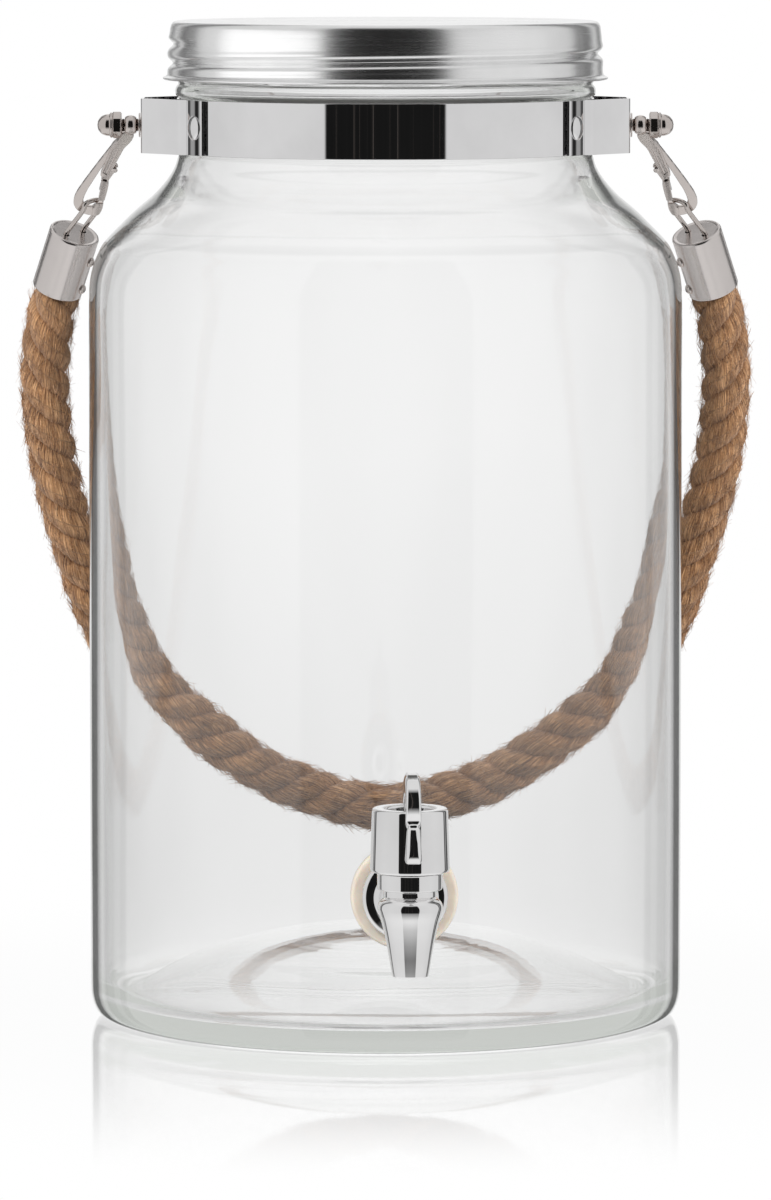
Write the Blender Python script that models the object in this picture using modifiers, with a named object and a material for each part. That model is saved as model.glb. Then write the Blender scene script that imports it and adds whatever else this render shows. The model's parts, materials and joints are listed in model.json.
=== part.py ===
"""Beverage dispenser: glass jar, screw lid, neck band with ears, rope handle on snap hooks, lever spigot.

Lengths are millimetres and are turned into metres by MM. +Z is up, the front is -Y, left is -X,
and the origin is the centre of the underside of the jar.
"""
import math

import bmesh
import bpy
from mathutils import Matrix, Vector

MM = 0.001

# ---- shared dimensions (mm); those of a single piece stand beside it ----
CLEAR = 0.32                # gap between neighbouring pieces
STEPS = 48                  # segments of the large turned pieces

JAR_R = 90.0                # outer radius of the glass
WALL = 4.0
INNER_R = JAR_R - WALL

BAND_R = 63.1               # outside of the neck band
BAND_T = 0.8
BAND_Z0, BAND_Z1 = 262.5, 279.0
BAND_H = BAND_Z1 - BAND_Z0
AXIS_Z = (BAND_Z0 + BAND_Z1) / 2    # handle bolts, halfway up the band

EAR_END = 73.8              # outside of the ear's end wall
EAR_T = 0.9
BOLT_R = 2.0
BOLT_HOLE_R = BOLT_R + CLEAR

TILT = math.radians(24.2)   # hanging angle of the handle, back from plumb
FERRULE_TOP = (94.7, 36.4)  # ends of the ferrule's axis, across and down the handle's plane
FERRULE_END = (100.5, 55.6)
FERRULE_R = 7.6
FERRULE_T = 0.7

JAR_TURN = math.radians(3.5)    # the jar, and so its spigot, stands turned this far in the band
SHANK_Z = 48.0              # axis of the hole in the glass
SHANK_R = 6.0
FLANGE_Y = -(JAR_R + 3.2)   # rear face of the spigot's flange
GLASS_MID_Y = -JAR_R + WALL / 2     # middle of the glass at the hole
SPOUT_Y = -116.0            # vertical axis of the spigot's cap and stem
STEM_R = 1.9
PIVOT_Z = 75.6              # lever pin
LEVER_PIN_R = 1.0
LEVER_W = 4.4

for old in list(bpy.data.objects):
    bpy.data.objects.remove(old, do_unlink=True)

parts = bpy.data.collections.new("beverage_dispenser")
cutters = bpy.data.collections.new("cutters")
bpy.context.scene.collection.children.link(parts)
bpy.context.scene.collection.children.link(cutters)


# ---- materials ----
# base colour, roughness, metallic, transmission
FINISHES = {
    "glass": ((0.90, 0.95, 0.93), 0.03, 0.0, 0.9),
    "aluminium": ((0.80, 0.80, 0.79), 0.28, 1.0, 0.0),
    "chrome": ((0.86, 0.86, 0.87), 0.06, 1.0, 0.0),
    "nickel": ((0.72, 0.68, 0.60), 0.22, 1.0, 0.0),
    "steel": ((0.62, 0.62, 0.62), 0.25, 1.0, 0.0),
    "jute": ((0.45, 0.25, 0.13), 0.9, 0.0, 0.0),
    "silicone": ((0.85, 0.66, 0.52), 0.45, 0.0, 0.0),
    "liner": ((0.86, 0.85, 0.80), 0.6, 0.0, 0.0),
    "nylon": ((0.80, 0.80, 0.78), 0.5, 0.0, 0.0),
    "rubber": ((0.06, 0.06, 0.06), 0.7, 0.0, 0.0),
}


def finish(ob, kind):
    """Give a piece its own material of one of the FINISHES."""
    colour, roughness, metallic, transmission = FINISHES[kind]
    mat = bpy.data.materials.new("mat_" + ob.name)
    mat.use_nodes = True
    inputs = mat.node_tree.nodes["Principled BSDF"].inputs
    inputs["Base Color"].default_value = (*colour, 1.0)
    inputs["Roughness"].default_value = roughness
    inputs["Metallic"].default_value = metallic
    inputs["Transmission Weight"].default_value = transmission
    ob.data.materials.append(mat)


# ---- frames ----
def at(x, y, z):
    return Matrix.Translation((x * MM, y * MM, z * MM))


def along(origin, direction, side=(0, 0, 1)):
    """A frame whose own Z runs along direction, with its own X as near as possible to side."""
    z = Vector(direction).normalized()
    x = Vector(side)
    x = x - z * x.dot(z)
    x.normalize()
    y = z.cross(x)
    frame = Matrix((x, y, z)).transposed().to_4x4()
    frame.translation = Vector(origin) * MM
    return frame


def bolt_frame(x, direction):
    """On the axis of the handle bolts at x, own Z towards +X or -X."""
    return along((x, 0, AXIS_Z), (direction, 0, 0))


# The handle hangs in a plane through the bolts, tilted back. A point there is (across, down).
PLANE = at(0, 0, AXIS_Z) @ Matrix.Rotation(math.pi / 2 + TILT, 4, "X")
PLANE_NORMAL = (0, -math.cos(TILT), -math.sin(TILT))


def hang(across, down):
    """World mm of a point in the handle's plane."""
    return (across, down * math.sin(TILT), AXIS_Z - down * math.cos(TILT))


# Frames of the spigot, which turn with the jar.
TURN = Matrix.Rotation(JAR_TURN, 4, "Z")
SPOUT = TURN @ at(0, SPOUT_Y, 0)
LEVER_PIN = TURN @ along((0, SPOUT_Y, PIVOT_Z), (1, 0, 0))


def shank_frame(y):
    """On the axis of the spigot's shank at y, own Z towards the rear."""
    return TURN @ along((0, y, SHANK_Z), (0, 1, 0))


# ---- modelling helpers ----
def add(name, data, matrix, collection):
    ob = bpy.data.objects.new(name, data)
    collection.objects.link(ob)
    ob.matrix_world = matrix
    if collection is cutters:
        ob.hide_render = True
        ob.display_type = "WIRE"
    return ob


def turned(name, profile, steps=STEPS, matrix=Matrix(), closed=False, collection=parts):
    """A profile of (radius, height) turned about its own Z, with shared end points welded."""
    mesh = bpy.data.meshes.new(name)
    verts = [(radius * MM, 0.0, z * MM) for radius, z in profile]
    edges = [(i, i + 1) for i in range(len(verts) - 1)]
    if closed:
        edges.append((len(verts) - 1, 0))
    mesh.from_pydata(verts, edges, [])
    ob = add(name, mesh, matrix, collection)
    screw = ob.modifiers.new("Screw", "SCREW")
    screw.axis = "Z"
    screw.angle = math.tau
    screw.steps = screw.render_steps = steps
    screw.use_merge_vertices = True
    screw.merge_threshold = 0.00001
    screw.use_smooth_shade = True
    return ob


def poly_spline(curve, points):
    spline = curve.splines.new("POLY")
    spline.points.add(len(points) - 1)
    for point, (x, y, z) in zip(spline.points, points):
        point.co = (x * MM, y * MM, z * MM, 1.0)
    return spline


def plate(name, outline, thickness, matrix, collection=parts):
    """A flat outline of (x, y) with the thickness centred on its own plane."""
    curve = bpy.data.curves.new(name, "CURVE")
    curve.dimensions = "2D"
    curve.fill_mode = "BOTH"
    curve.extrude = thickness * MM / 2
    poly_spline(curve, [(x, y, 0.0) for x, y in outline]).use_cyclic_u = True
    return to_mesh(add(name + "_outline", curve, matrix, collection), name, collection)


def hanging_plate(name, side, outline, thickness, collection=parts):
    """A plate in the handle's plane, from an outline of (across, down) for the right side."""
    return plate(name, [(side * x, -down) for x, down in outline], thickness, PLANE, collection)


def wire(name, points, radius, resolution, matrix=Matrix(), scales=None):
    """A round wire or rope along a list of points, with closed ends; scales thins it by point."""
    curve = bpy.data.curves.new(name, "CURVE")
    curve.dimensions = "3D"
    curve.bevel_depth = radius * MM
    curve.bevel_resolution = resolution
    curve.use_fill_caps = True
    spline = poly_spline(curve, points)
    for point, scale in zip(spline.points, scales or [1.0] * len(points)):
        point.radius = scale
    return to_mesh(add(name + "_path", curve, matrix, parts), name, parts)


def to_mesh(curve_ob, name, collection):
    """A curve made into a mesh with its cap points welded."""
    bpy.context.view_layer.update()
    depsgraph = bpy.context.evaluated_depsgraph_get()
    mesh = bpy.data.meshes.new_from_object(curve_ob.evaluated_get(depsgraph))
    bm = bmesh.new()
    bm.from_mesh(mesh)
    bmesh.ops.remove_doubles(bm, verts=bm.verts, dist=0.000001)
    bmesh.ops.recalc_face_normals(bm, faces=bm.faces)
    bm.to_mesh(mesh)
    bm.free()
    ob = add(name, mesh, curve_ob.matrix_world.copy(), collection)
    bpy.data.objects.remove(curve_ob, do_unlink=True)
    mesh.name = name
    return ob


def from_bmesh(name, bm, matrix, collection):
    mesh = bpy.data.meshes.new(name)
    bm.to_mesh(mesh)
    bm.free()
    return add(name, mesh, matrix, collection)


def rod(name, radius, length, matrix, sides=24, collection=cutters):
    """A cylinder or prism along its own Z, centred."""
    bm = bmesh.new()
    bmesh.ops.create_cone(bm, cap_ends=True, cap_tris=False, segments=sides, radius1=radius * MM,
                          radius2=radius * MM, depth=length * MM)
    return from_bmesh(name, bm, matrix, collection)


def block(name, size, matrix):
    """A box-shaped cutter, centred."""
    bm = bmesh.new()
    bmesh.ops.create_cube(bm, size=1.0)
    bmesh.ops.scale(bm, vec=[length * MM for length in size], verts=bm.verts)
    return from_bmesh(name, bm, matrix, cutters)


def boolean(ob, other, operation="DIFFERENCE"):
    modifier = ob.modifiers.new(operation.title(), "BOOLEAN")
    modifier.operation = operation
    modifier.solver = "EXACT"
    modifier.object = other


def hex_radius(across_flats):
    return across_flats / math.sqrt(3)


def thicken(path, half):
    """Both sides of an open path, half to each side and mitred, as one closed outline."""
    left, right = [], []
    for i, (x, y) in enumerate(path):
        before = Vector(path[max(i - 1, 0)])
        after = Vector(path[min(i + 1, len(path) - 1)])
        run = (after - before).normalized()
        normal = Vector((-run.y, run.x))
        mitre = 1.0
        if 0 < i < len(path) - 1:
            first = (Vector((x, y)) - before).normalized()
            mitre = 1.0 / max(0.5, Vector((-first.y, first.x)).dot(normal))
        left.append((x + normal.x * half * mitre, y + normal.y * half * mitre))
        right.append((x - normal.x * half * mitre, y - normal.y * half * mitre))
    return left + right[::-1]


# ---- glass jar ----
FLOOR = 6.0
NECK_R = 61.9               # glass under the band
BEAD_R = 63.6               # glass bead above the band
FINISH_R = 62.9             # glass under the lid
LIP_Z = 298.2               # top of the glass


def glass_jar():
    # (radius, height), up the inside from the floor
    inside = [
        (0.0, FLOOR + 2.0), (40.0, FLOOR + 1.2), (76.0, FLOOR), (82.5, 7.6), (85.2, 10.6),
        (INNER_R, 14.0), (INNER_R, 214.0), (85.3, 223.0), (83.6, 229.0), (79.6, 236.2),
        (75.0, 240.6), (69.0, 245.6), (63.4, 250.4), (60.0, 254.6), (58.6, 259.0), (58.2, 264.0),
        (58.2, LIP_Z - 1.0), (59.2, LIP_Z)]
    # (radius, height), down the outside from the lip
    outside = [
        (FINISH_R - 1.2, LIP_Z), (FINISH_R, LIP_Z - 1.2), (FINISH_R, 284.0), (62.6, 283.0),
        (BEAD_R - 0.5, 282.4), (BEAD_R, 281.2), (BEAD_R, 280.3), (BEAD_R - 0.6, 279.4),
        (NECK_R, 279.2), (NECK_R, 262.3), (62.7, 261.9), (63.5, 258.6), (65.5, 255.0),
        (69.6, 250.1), (75.7, 245.2), (80.2, 240.7), (83.9, 237.0), (85.9, 234.6), (88.3, 229.3),
        (89.6, 224.3), (JAR_R, 215.0), (JAR_R, 6.0), (89.2, 3.0), (87.6, 1.0), (85.5, 0.0),
        (0.0, 0.0)]
    jar = turned("glass_jar", inside + outside)
    boolean(jar, rod("cut_glass_hole", SHANK_R + 0.6, 30, shank_frame(GLASS_MID_Y), 32))
    finish(jar, "glass")


# ---- lid ----
LID_TOP = 302.3
LID_BOTTOM = 284.6
LID_SHEET = 0.8


def lid():
    # (radius, height), down the outside from the centre of the top
    outside = [
        (0.0, LID_TOP), (60.4, LID_TOP), (62.5, LID_TOP - 0.5), (64.6, LID_TOP - 1.9),
        (65.6, LID_TOP - 4.0), (65.6, 295.6), (64.4, 294.6), (64.4, 293.6), (65.9, 292.5),
        (65.9, 291.0), (64.4, 290.0), (64.4, 288.4), (65.9, 287.2), (67.3, 286.0),
        (67.3, LID_BOTTOM)]
    # (radius, height), back up the inside
    inside = [
        (66.3, LID_BOTTOM), (66.3, 285.8), (65.0, 286.9), (63.6, 288.1), (63.6, 290.3),
        (65.0, 291.4), (65.0, 292.2), (63.6, 293.3), (63.6, 295.0), (64.8, 296.0),
        (64.8, LID_TOP - 4.2), (64.0, LID_TOP - 2.4), (62.2, LID_TOP - 1.3),
        (60.2, LID_TOP - LID_SHEET), (0.0, LID_TOP - LID_SHEET)]
    finish(turned("lid_shell", outside + inside), "aluminium")
    liner = [(0.0, 301.1), (61.0, 301.1), (61.4, 300.7), (61.4, 298.9), (61.0, 298.6), (0.0, 298.6)]
    finish(turned("lid_liner", liner), "liner")


# ---- neck band, in two halves that meet under the ears ----
BAND_GAP = math.radians(0.6)    # from the joint to the end of each half
BAND_SEGMENTS = 24


def neck_band(where, side):
    sweep = (math.pi - BAND_GAP) - BAND_GAP
    angles = [BAND_GAP + sweep * i / BAND_SEGMENTS for i in range(BAND_SEGMENTS + 1)]
    ring = []
    for radius, order in ((BAND_R, angles), (BAND_R - BAND_T, angles[::-1])):
        ring += [(radius * math.cos(a), side * radius * math.sin(a)) for a in order]
    band = plate("neck_band_" + where, ring, BAND_H, at(0, 0, AXIS_Z))
    finish(band, "chrome")
    return band


# ---- ears: one folded strip at each side, riveted over the band's joint ----
TAB_R = BAND_R + CLEAR + EAR_T / 2
TAB_ANGLES = [math.radians(a) for a in (31.5, 28.0, 24.5, 21.6)]
RIVET_ANGLE = math.radians(27.0)
RIVET_R = 1.5


def ear(tag, side, bands):
    tab = [(TAB_R * math.cos(a), TAB_R * math.sin(a)) for a in TAB_ANGLES]
    wall_x = EAR_END - EAR_T / 2
    half_path = tab + [(61.6, 22.4), (wall_x - 1.2, 9.0), (wall_x, 7.8)]
    path = half_path + [(x, -y) for x, y in reversed(half_path)]
    outline = [(side * x, y) for x, y in thicken(path, EAR_T / 2)]
    bracket = plate("ear_bracket_" + tag, outline, BAND_H, at(0, 0, AXIS_Z))
    boolean(bracket, rod("cut_ear_bolt_" + tag, BOLT_HOLE_R, 8, bolt_frame(side * EAR_END, 1), 16))

    # (radius, height above the ear's outer face), head first
    rivet_profile = [
        (0.0, CLEAR + 1.7), (1.3, CLEAR + 1.5), (2.4, CLEAR + 0.95), (3.0, CLEAR),
        (RIVET_R, CLEAR), (RIVET_R, -1.9), (0.0, -1.9)]
    for where, y_side in (("front", -1), ("rear", 1)):
        outward = (side * math.cos(RIVET_ANGLE), y_side * math.sin(RIVET_ANGLE), 0)
        seat = [c * (BAND_R + CLEAR + EAR_T) for c in outward]
        frame = along((seat[0], seat[1], AXIS_Z), outward)
        hole = rod(f"cut_rivet_{where}_{tag}", RIVET_R + CLEAR, 8, frame, 16)
        boolean(bracket, hole)
        boolean(bands[where], hole)
        finish(turned(f"band_rivet_{where}_{tag}", rivet_profile, 16, frame), "chrome")
    finish(bracket, "chrome")


# ---- bolt: head inside the ear, shank out through the hook and the domed nut ----
NUT_HEX_X = 81.25           # middle of the domed nut's hexagon


def handle_bolt(tag, side):
    # profiles are (radius, distance from the jar's axis)
    frame = bolt_frame(0, side)
    head_x = EAR_END - EAR_T - CLEAR
    bolt = [(0.0, 84.7), (1.6, 84.7), (BOLT_R, 84.3), (BOLT_R, head_x), (3.6, head_x),
            (3.6, head_x - 1.6), (3.0, head_x - 2.4), (0.0, head_x - 2.6)]
    finish(turned("handle_bolt_" + tag, bolt, 16, frame), "nickel")

    washer = [(3.7, 74.58), (3.7, 74.12), (BOLT_HOLE_R, 74.12), (BOLT_HOLE_R, 74.58)]
    finish(turned("nut_washer_" + tag, washer, 20, frame, closed=True), "nickel")

    dome = [(0.0, 87.1), (1.2, 86.9), (2.2, 86.2), (2.8, 85.0), (3.0, 83.3), (3.8, 83.2),
            (3.8, 82.5), (3.3, 82.2), (BOLT_HOLE_R, 82.2), (BOLT_HOLE_R, 85.1), (0.0, 85.1)]
    nut = turned("dome_nut_" + tag, dome, 18, frame)
    hex_frame = bolt_frame(side * NUT_HEX_X, side)
    hexagon = rod("add_nut_hex_" + tag, hex_radius(7.0), 3.0, hex_frame, 6)
    boolean(hexagon, rod("cut_nut_hex_" + tag, BOLT_HOLE_R, 9, hex_frame, 18))
    boolean(nut, hexagon, "UNION")
    finish(nut, "nickel")


# ---- hook and its gate; points are (across, down) the handle's plane ----
HOOK_T = 1.8                # thickness of the hook plate
EYE_X = 77.1                # middle of the eye barrel
GATE_PIVOT = (82.1, 14.4)
GATE_TIP = (84.7, 24.15)
GATE_PIN_R = 0.55
# From the eye down the outer blade, round the bottom bar and back up the inside.
HOOK_OUTLINE = [
    (74.9, 1.5), (79.3, 1.5), (79.3, 4.6), (82.9, 5.3), (85.6, 7.5), (89.0, 11.4), (92.6, 16.6),
    (95.0, 21.6), (95.6, 24.6), (95.1, 27.2), (93.2, 28.7), (90.2, 28.9), (87.6, 28.9),
    (84.9, 28.6), (83.7, 27.4), (83.6, 24.6), (85.5, 24.6), (85.8, 26.4), (86.6, 27.0),
    (90.0, 27.0), (92.6, 26.7), (93.4, 24.8), (92.8, 22.2), (90.0, 17.6), (86.6, 12.8),
    (83.6, 9.4), (82.0, 9.0), (81.6, 9.8), (83.1, 12.1), (80.2, 13.0), (75.4, 5.6)]


def hook(tag, side, pin_hole):
    plate_ob = hanging_plate("hook_" + tag, side, HOOK_OUTLINE, HOOK_T)
    eye = bolt_frame(side * EYE_X, 1)
    boolean(plate_ob, rod("add_eye_" + tag, 3.35, 4.4, eye, 20), "UNION")

    # a fork at the end of the inner bar carries the gate's pin
    pivot_x, pivot_down = GATE_PIVOT
    fork_r = 1.75
    fork = [(80.1, 10.4), (82.1, 9.9), (83.2, 12.0)]
    for i in range(7):
        angle = math.radians(20 - 30 * i)
        fork.append((pivot_x + fork_r * math.cos(angle), pivot_down - fork_r * math.sin(angle)))
    boolean(plate_ob, hanging_plate("add_fork_" + tag, side, fork, 3.8, cutters), "UNION")
    slot = [(78.0, 13.2), (83.4, 11.7), (88.0, 13.0), (88.0, 19.0), (78.0, 19.0)]
    slot_width = HOOK_T + 2 * CLEAR
    boolean(plate_ob, hanging_plate("cut_fork_" + tag, side, slot, slot_width, cutters))

    boolean(plate_ob, rod("cut_eye_" + tag, BOLT_HOLE_R, 12, eye, 16))
    boolean(plate_ob, pin_hole)
    finish(plate_ob, "nickel")


def hook_gate(tag, side, pin_frame, pin_hole):
    """Lower part of the hook's inner bar, turning in the fork, with its pin and leaf spring."""
    pivot, tip = Vector(GATE_PIVOT), Vector(GATE_TIP)
    run = (tip - pivot).normalized()
    outward = Vector((run.y, -run.x))
    pivot_half, tip_half = 1.45, 1.05   # half widths of the gate
    outline = []
    for i in range(9):
        a = math.pi * i / 8
        rim = pivot + outward * pivot_half * math.cos(a) - run * pivot_half * math.sin(a)
        outline.append(tuple(rim))
    outline += [tuple(tip - outward * tip_half), tuple(tip + outward * tip_half)]
    gate = hanging_plate("hook_gate_" + tag, side, outline, HOOK_T)
    boolean(gate, pin_hole)
    finish(gate, "nickel")

    # (radius, distance along the pin), with a head at both ends
    pin = [(0.0, 2.75), (0.8, 2.65), (1.15, 2.3), (GATE_PIN_R, 2.3), (GATE_PIN_R, -2.3),
           (1.15, -2.3), (0.8, -2.65), (0.0, -2.75)]
    finish(turned("gate_pin_" + tag, pin, 12, pin_frame), "steel")

    # leaf spring lying along the gate's outer side
    upper = pivot + outward * 1.9 + run * 2.6
    lower = pivot + outward * 2.3 + run * 7.4
    leaf = thicken([tuple(upper), tuple((upper + lower) / 2), tuple(lower)], 0.15)
    finish(hanging_plate("gate_spring_" + tag, side, leaf, 1.4), "steel")


def snap_hook(tag, side):
    pin_frame = along(hang(side * GATE_PIVOT[0], GATE_PIVOT[1]), PLANE_NORMAL)
    pin_hole = rod("cut_gate_pin_" + tag, GATE_PIN_R + CLEAR, 8, pin_frame, 12)
    hook(tag, side, pin_hole)
    hook_gate(tag, side, pin_frame, pin_hole)


# ---- ferrule, open at the bottom, and the shackle that hangs it on the hook ----
HOOK_BAR = (89.5, 27.95)    # centre of the hook's bottom bar, across and down
WIRE_R = 0.75               # shackle wire
CROWN = 3.6                 # half the distance between the shackle's legs
CROWN_H = 3.4               # height of the shackle's arch
SCREW_R = 0.8
SCREW_ANGLE = math.radians(20)  # screws face the jar, this far round to the front
SCREW_HEIGHTS = (("upper", 0.64), ("lower", 0.16))  # share of the ferrule's length


def ferrule_and_shackle(tag, side):
    top = Vector(hang(side * FERRULE_TOP[0], FERRULE_TOP[1]))
    end = Vector(hang(side * FERRULE_END[0], FERRULE_END[1]))
    length = (top - end).length
    # origin at the open end, own Z up the ferrule, own X towards the jar
    frame = along(end, (top - end).normalized(), (-side, 0, 0))
    yaw = math.radians(45) * -side
    legs = [(CROWN * math.cos(yaw) * k, CROWN * math.sin(yaw) * k) for k in (-1, 1)]
    ferrule(tag, side, frame, length, legs)
    shackle(tag, side, frame, length, legs, yaw)


def ferrule(tag, side, frame, length, legs):
    bore_r = FERRULE_R - FERRULE_T
    profile = [(0.0, length), (6.9, length), (FERRULE_R, length - 0.7), (FERRULE_R, 0.0),
               (bore_r, 0.0), (bore_r, length - 1.2), (0.0, length - 1.2)]
    shell = turned("ferrule_" + tag, profile, 28, frame)
    for i, (x, y) in enumerate(legs):
        boolean(shell, rod(f"cut_leg_{tag}_{i}", WIRE_R + CLEAR, 6, frame @ at(x, y, length), 12))

    # (radius, height above the ferrule's side), head first
    screw_profile = [(0.0, 1.25), (0.8, 1.1), (1.4, 0.7), (1.6, CLEAR), (SCREW_R, CLEAR),
                     (SCREW_R, -0.6), (0.0, -0.6)]
    for where, share in SCREW_HEIGHTS:
        screw_frame = (frame @ at(0, 0, length * share)
                       @ Matrix.Rotation(SCREW_ANGLE * side, 4, "Z")
                       @ Matrix.Rotation(math.pi / 2, 4, "Y") @ at(0, 0, FERRULE_R))
        boolean(shell, rod(f"cut_screw_{where}_{tag}", SCREW_R + CLEAR, 4, screw_frame, 12))
        screw = turned(f"ferrule_screw_{where}_{tag}", screw_profile, 12, screw_frame)
        finish(screw, "nickel")
    finish(shell, "nickel")


def shackle(tag, side, frame, length, legs, yaw):
    """A wire staple over the hook's bottom bar, its legs ending inside the ferrule."""
    bar = Vector(hang(side * HOOK_BAR[0], HOOK_BAR[1]))
    bar = (frame.inverted() @ (bar * MM)) / MM
    arch_z = bar.z + 2.6 - CROWN_H
    arch = []
    for i in range(13):
        a = math.pi * i / 12
        offset = CROWN * math.cos(a)
        arch.append((offset * math.cos(yaw) + bar.x, offset * math.sin(yaw) + bar.y,
                     arch_z + CROWN_H * math.sin(a) ** 0.35))
    foot_z, shoulder_z = length - 2.6, length + 0.8
    last, first = legs
    points = [(*first, foot_z), (*first, shoulder_z)] + arch + [(*last, shoulder_z), (*last, foot_z)]
    finish(wire("shackle_" + tag, points, WIRE_R, 1, frame), "nickel")


# ---- rope: one U from ferrule to ferrule ----
ROPE_R = 7.75
# (across, down) the handle's plane, from below the right ferrule to the bottom of the U
ROPE_SIDE = [
    (103.4, 70.0), (104.8, 84.0), (104.7, 98.0), (103.2, 114.0), (100.4, 130.0), (95.5, 150.0),
    (90.2, 168.5), (82.0, 187.0), (70.5, 201.5), (57.0, 214.5), (41.0, 227.3), (24.0, 235.0),
    (8.0, 239.8)]


def rope():
    top, end = Vector(FERRULE_TOP), Vector(FERRULE_END)
    run = (end - top).normalized()
    # squeezed inside the ferrule, swelling to full size just below it
    squeezed = (FERRULE_R - FERRULE_T - 0.45) / ROPE_R
    right = [(top + run * 4.0, squeezed), (end - run * 0.3, squeezed), (end + run * 0.5, 0.93),
             (end + run * 2.0, 1.0)]
    right += [(point, 1.0) for point in ROPE_SIDE]
    path = [((-x, down), scale) for (x, down), scale in right] + right[::-1]
    points = [hang(x, down) for (x, down), _ in path]
    finish(wire("rope", points, ROPE_R, 2, scales=[scale for _, scale in path]), "jute")


# ---- spigot; the profiles on its vertical axis are (radius, height) ----
NOSE_Y = -117.6             # the spout bulges a little further forward
SHANK_LENGTH = 24.6         # from the flange's rear face to the inner end
BORE_R = 3.5


def spigot_body():
    spout = [(0.0, 54.6), (3.5, 54.2), (6.2, 53.2), (8.2, 51.6), (9.2, 49.2), (9.0, 46.9),
             (8.15, 44.2), (7.3, 40.0), (6.55, 35.7), (5.9, 31.6), (5.3, 28.0), (0.0, 28.0)]
    body = turned("spigot_body", spout, 32, TURN @ at(0, NOSE_Y, 0))

    collar = [(0.0, 58.2), (9.2, 58.2), (9.5, 57.9), (9.5, 53.0), (9.0, 52.3), (8.4, 48.0),
              (0.0, 47.0)]
    boolean(body, turned("add_collar", collar, 32, SPOUT, collection=cutters), "UNION")

    # (radius, distance back from the inner end), forward through the flange to the spout
    shank = [(0.0, 0.0), (SHANK_R, 0.0), (SHANK_R, -SHANK_LENGTH), (12.7, -SHANK_LENGTH),
             (12.7, -26.6), (11.6, -27.4), (8.6, -27.8), (7.6, -29.5), (7.6, -44.0), (0.0, -44.0)]
    frame = shank_frame(FLANGE_Y + SHANK_LENGTH)
    boolean(body, turned("add_shank", shank, 32, frame, collection=cutters), "UNION")

    chamber = [(0.0, 60.0), (6.1, 60.0), (6.1, 43.6), (3.6, 42.4), (3.6, 40.6), (0.0, 40.6)]
    boolean(body, turned("cut_chamber", chamber, 24, SPOUT, collection=cutters))
    outlet = TURN @ at(0, (SPOUT_Y + 2 * NOSE_Y) / 3, 32.0)
    boolean(body, rod("cut_outlet", BORE_R, 24.0, outlet, 24))
    boolean(body, rod("cut_shank_bore", BORE_R, 60.0, shank_frame(SPOUT_Y + 30.0), 20))
    finish(body, "chrome")


def spigot_cap():
    hole_r = STEM_R + 0.45
    profile = [(7.3, 76.6), (8.2, 77.1), (10.6, 77.1), (11.05, 76.6), (11.6, 59.0), (11.2, 58.55),
               (5.9, 58.55), (5.9, 66.0), (hole_r, 66.4), (hole_r, 70.6), (7.3, 70.6)]
    finish(turned("spigot_cap", profile, 32, SPOUT, closed=True), "chrome")


def stem():
    """Stem with a collar for the spring and two flats at the top, and the seal below it."""
    profile = [(0.0, 78.4), (STEM_R, 78.4), (STEM_R, 51.4), (3.2, 51.4), (3.2, 50.2),
               (STEM_R, 50.2), (STEM_R, 48.4), (0.0, 48.4)]
    ob = turned("stem", profile, 16, SPOUT)
    flat_x, cut_width = 0.75, 3.0
    for i, side in enumerate((-1, 1)):
        frame = TURN @ at(side * (flat_x + cut_width / 2), SPOUT_Y, 77.0)
        boolean(ob, block(f"cut_stem_flat_{i}", (cut_width, 8.0, 12.0), frame))
    boolean(ob, rod("cut_stem_pin", LEVER_PIN_R + CLEAR, 10, LEVER_PIN, 12))
    finish(ob, "steel")

    seal = [(0.0, 48.0), (5.0, 48.0), (5.4, 47.4), (5.4, 45.2), (4.6, 44.2), (0.0, 44.0)]
    finish(turned("valve_seal", seal, 20, SPOUT), "rubber")


def spring():
    coil_r, wire_r = 3.6, 0.4
    turns, per_turn = 5, 12
    bottom, top = 52.5, 65.0
    coil = []
    for i in range(turns * per_turn + 1):
        a = math.tau * i / per_turn
        z = bottom + (top - bottom) * i / (turns * per_turn)
        coil.append((coil_r * math.cos(a), coil_r * math.sin(a), z))
    finish(wire("spring", coil, wire_r, 0, SPOUT), "steel")


# Upright plate that arches over the cap's edge and comes down in front of it:
# (forward from the spigot's axis, up).
LEVER_OUTLINE = [
    (-3.6, 75.0), (-3.2, 73.2), (-1.6, 72.0), (0.6, 71.8), (2.6, 72.6), (3.8, 74.4), (4.6, 77.2),
    (6.6, 79.6), (9.2, 80.6), (11.6, 80.0), (13.2, 78.0), (13.9, 74.0), (14.1, 66.0), (14.5, 63.4),
    (15.9, 62.3), (17.3, 63.4), (17.8, 66.0), (17.6, 75.0), (16.4, 81.2), (13.4, 85.6), (8.8, 87.6),
    (3.8, 86.8), (-0.6, 83.4), (-3.0, 79.0)]


def lever():
    # own X forward, own Y up, own Z across
    upright = TURN @ along((0, SPOUT_Y, 0), (-1, 0, 0), (0, -1, 0))
    ob = plate("lever", LEVER_OUTLINE, LEVER_W, upright)
    boolean(ob, block("cut_lever_slot", (2.2, 9.0, 12.0), TURN @ at(0, SPOUT_Y, 74.6)))
    boolean(ob, rod("cut_lever_pin", LEVER_PIN_R + CLEAR, 10, LEVER_PIN, 12))
    finish(ob, "chrome")
    finish(rod("lever_pin", LEVER_PIN_R, LEVER_W, LEVER_PIN, 12, parts), "steel")


# ---- washers, shaped to the curve of the glass, and the lock nut inside the jar ----
WASHER_HOLE_R = SHANK_R + 0.4
LOCK_NUT_Y = -79.1


def washer(name, radius, thickness, y):
    profile = [(radius, thickness), (radius, 0.0), (WASHER_HOLE_R, 0.0), (WASHER_HOLE_R, thickness)]
    ob = turned(name, profile, 32, shank_frame(y), closed=True)
    finish(ob, "silicone")
    return ob


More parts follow.
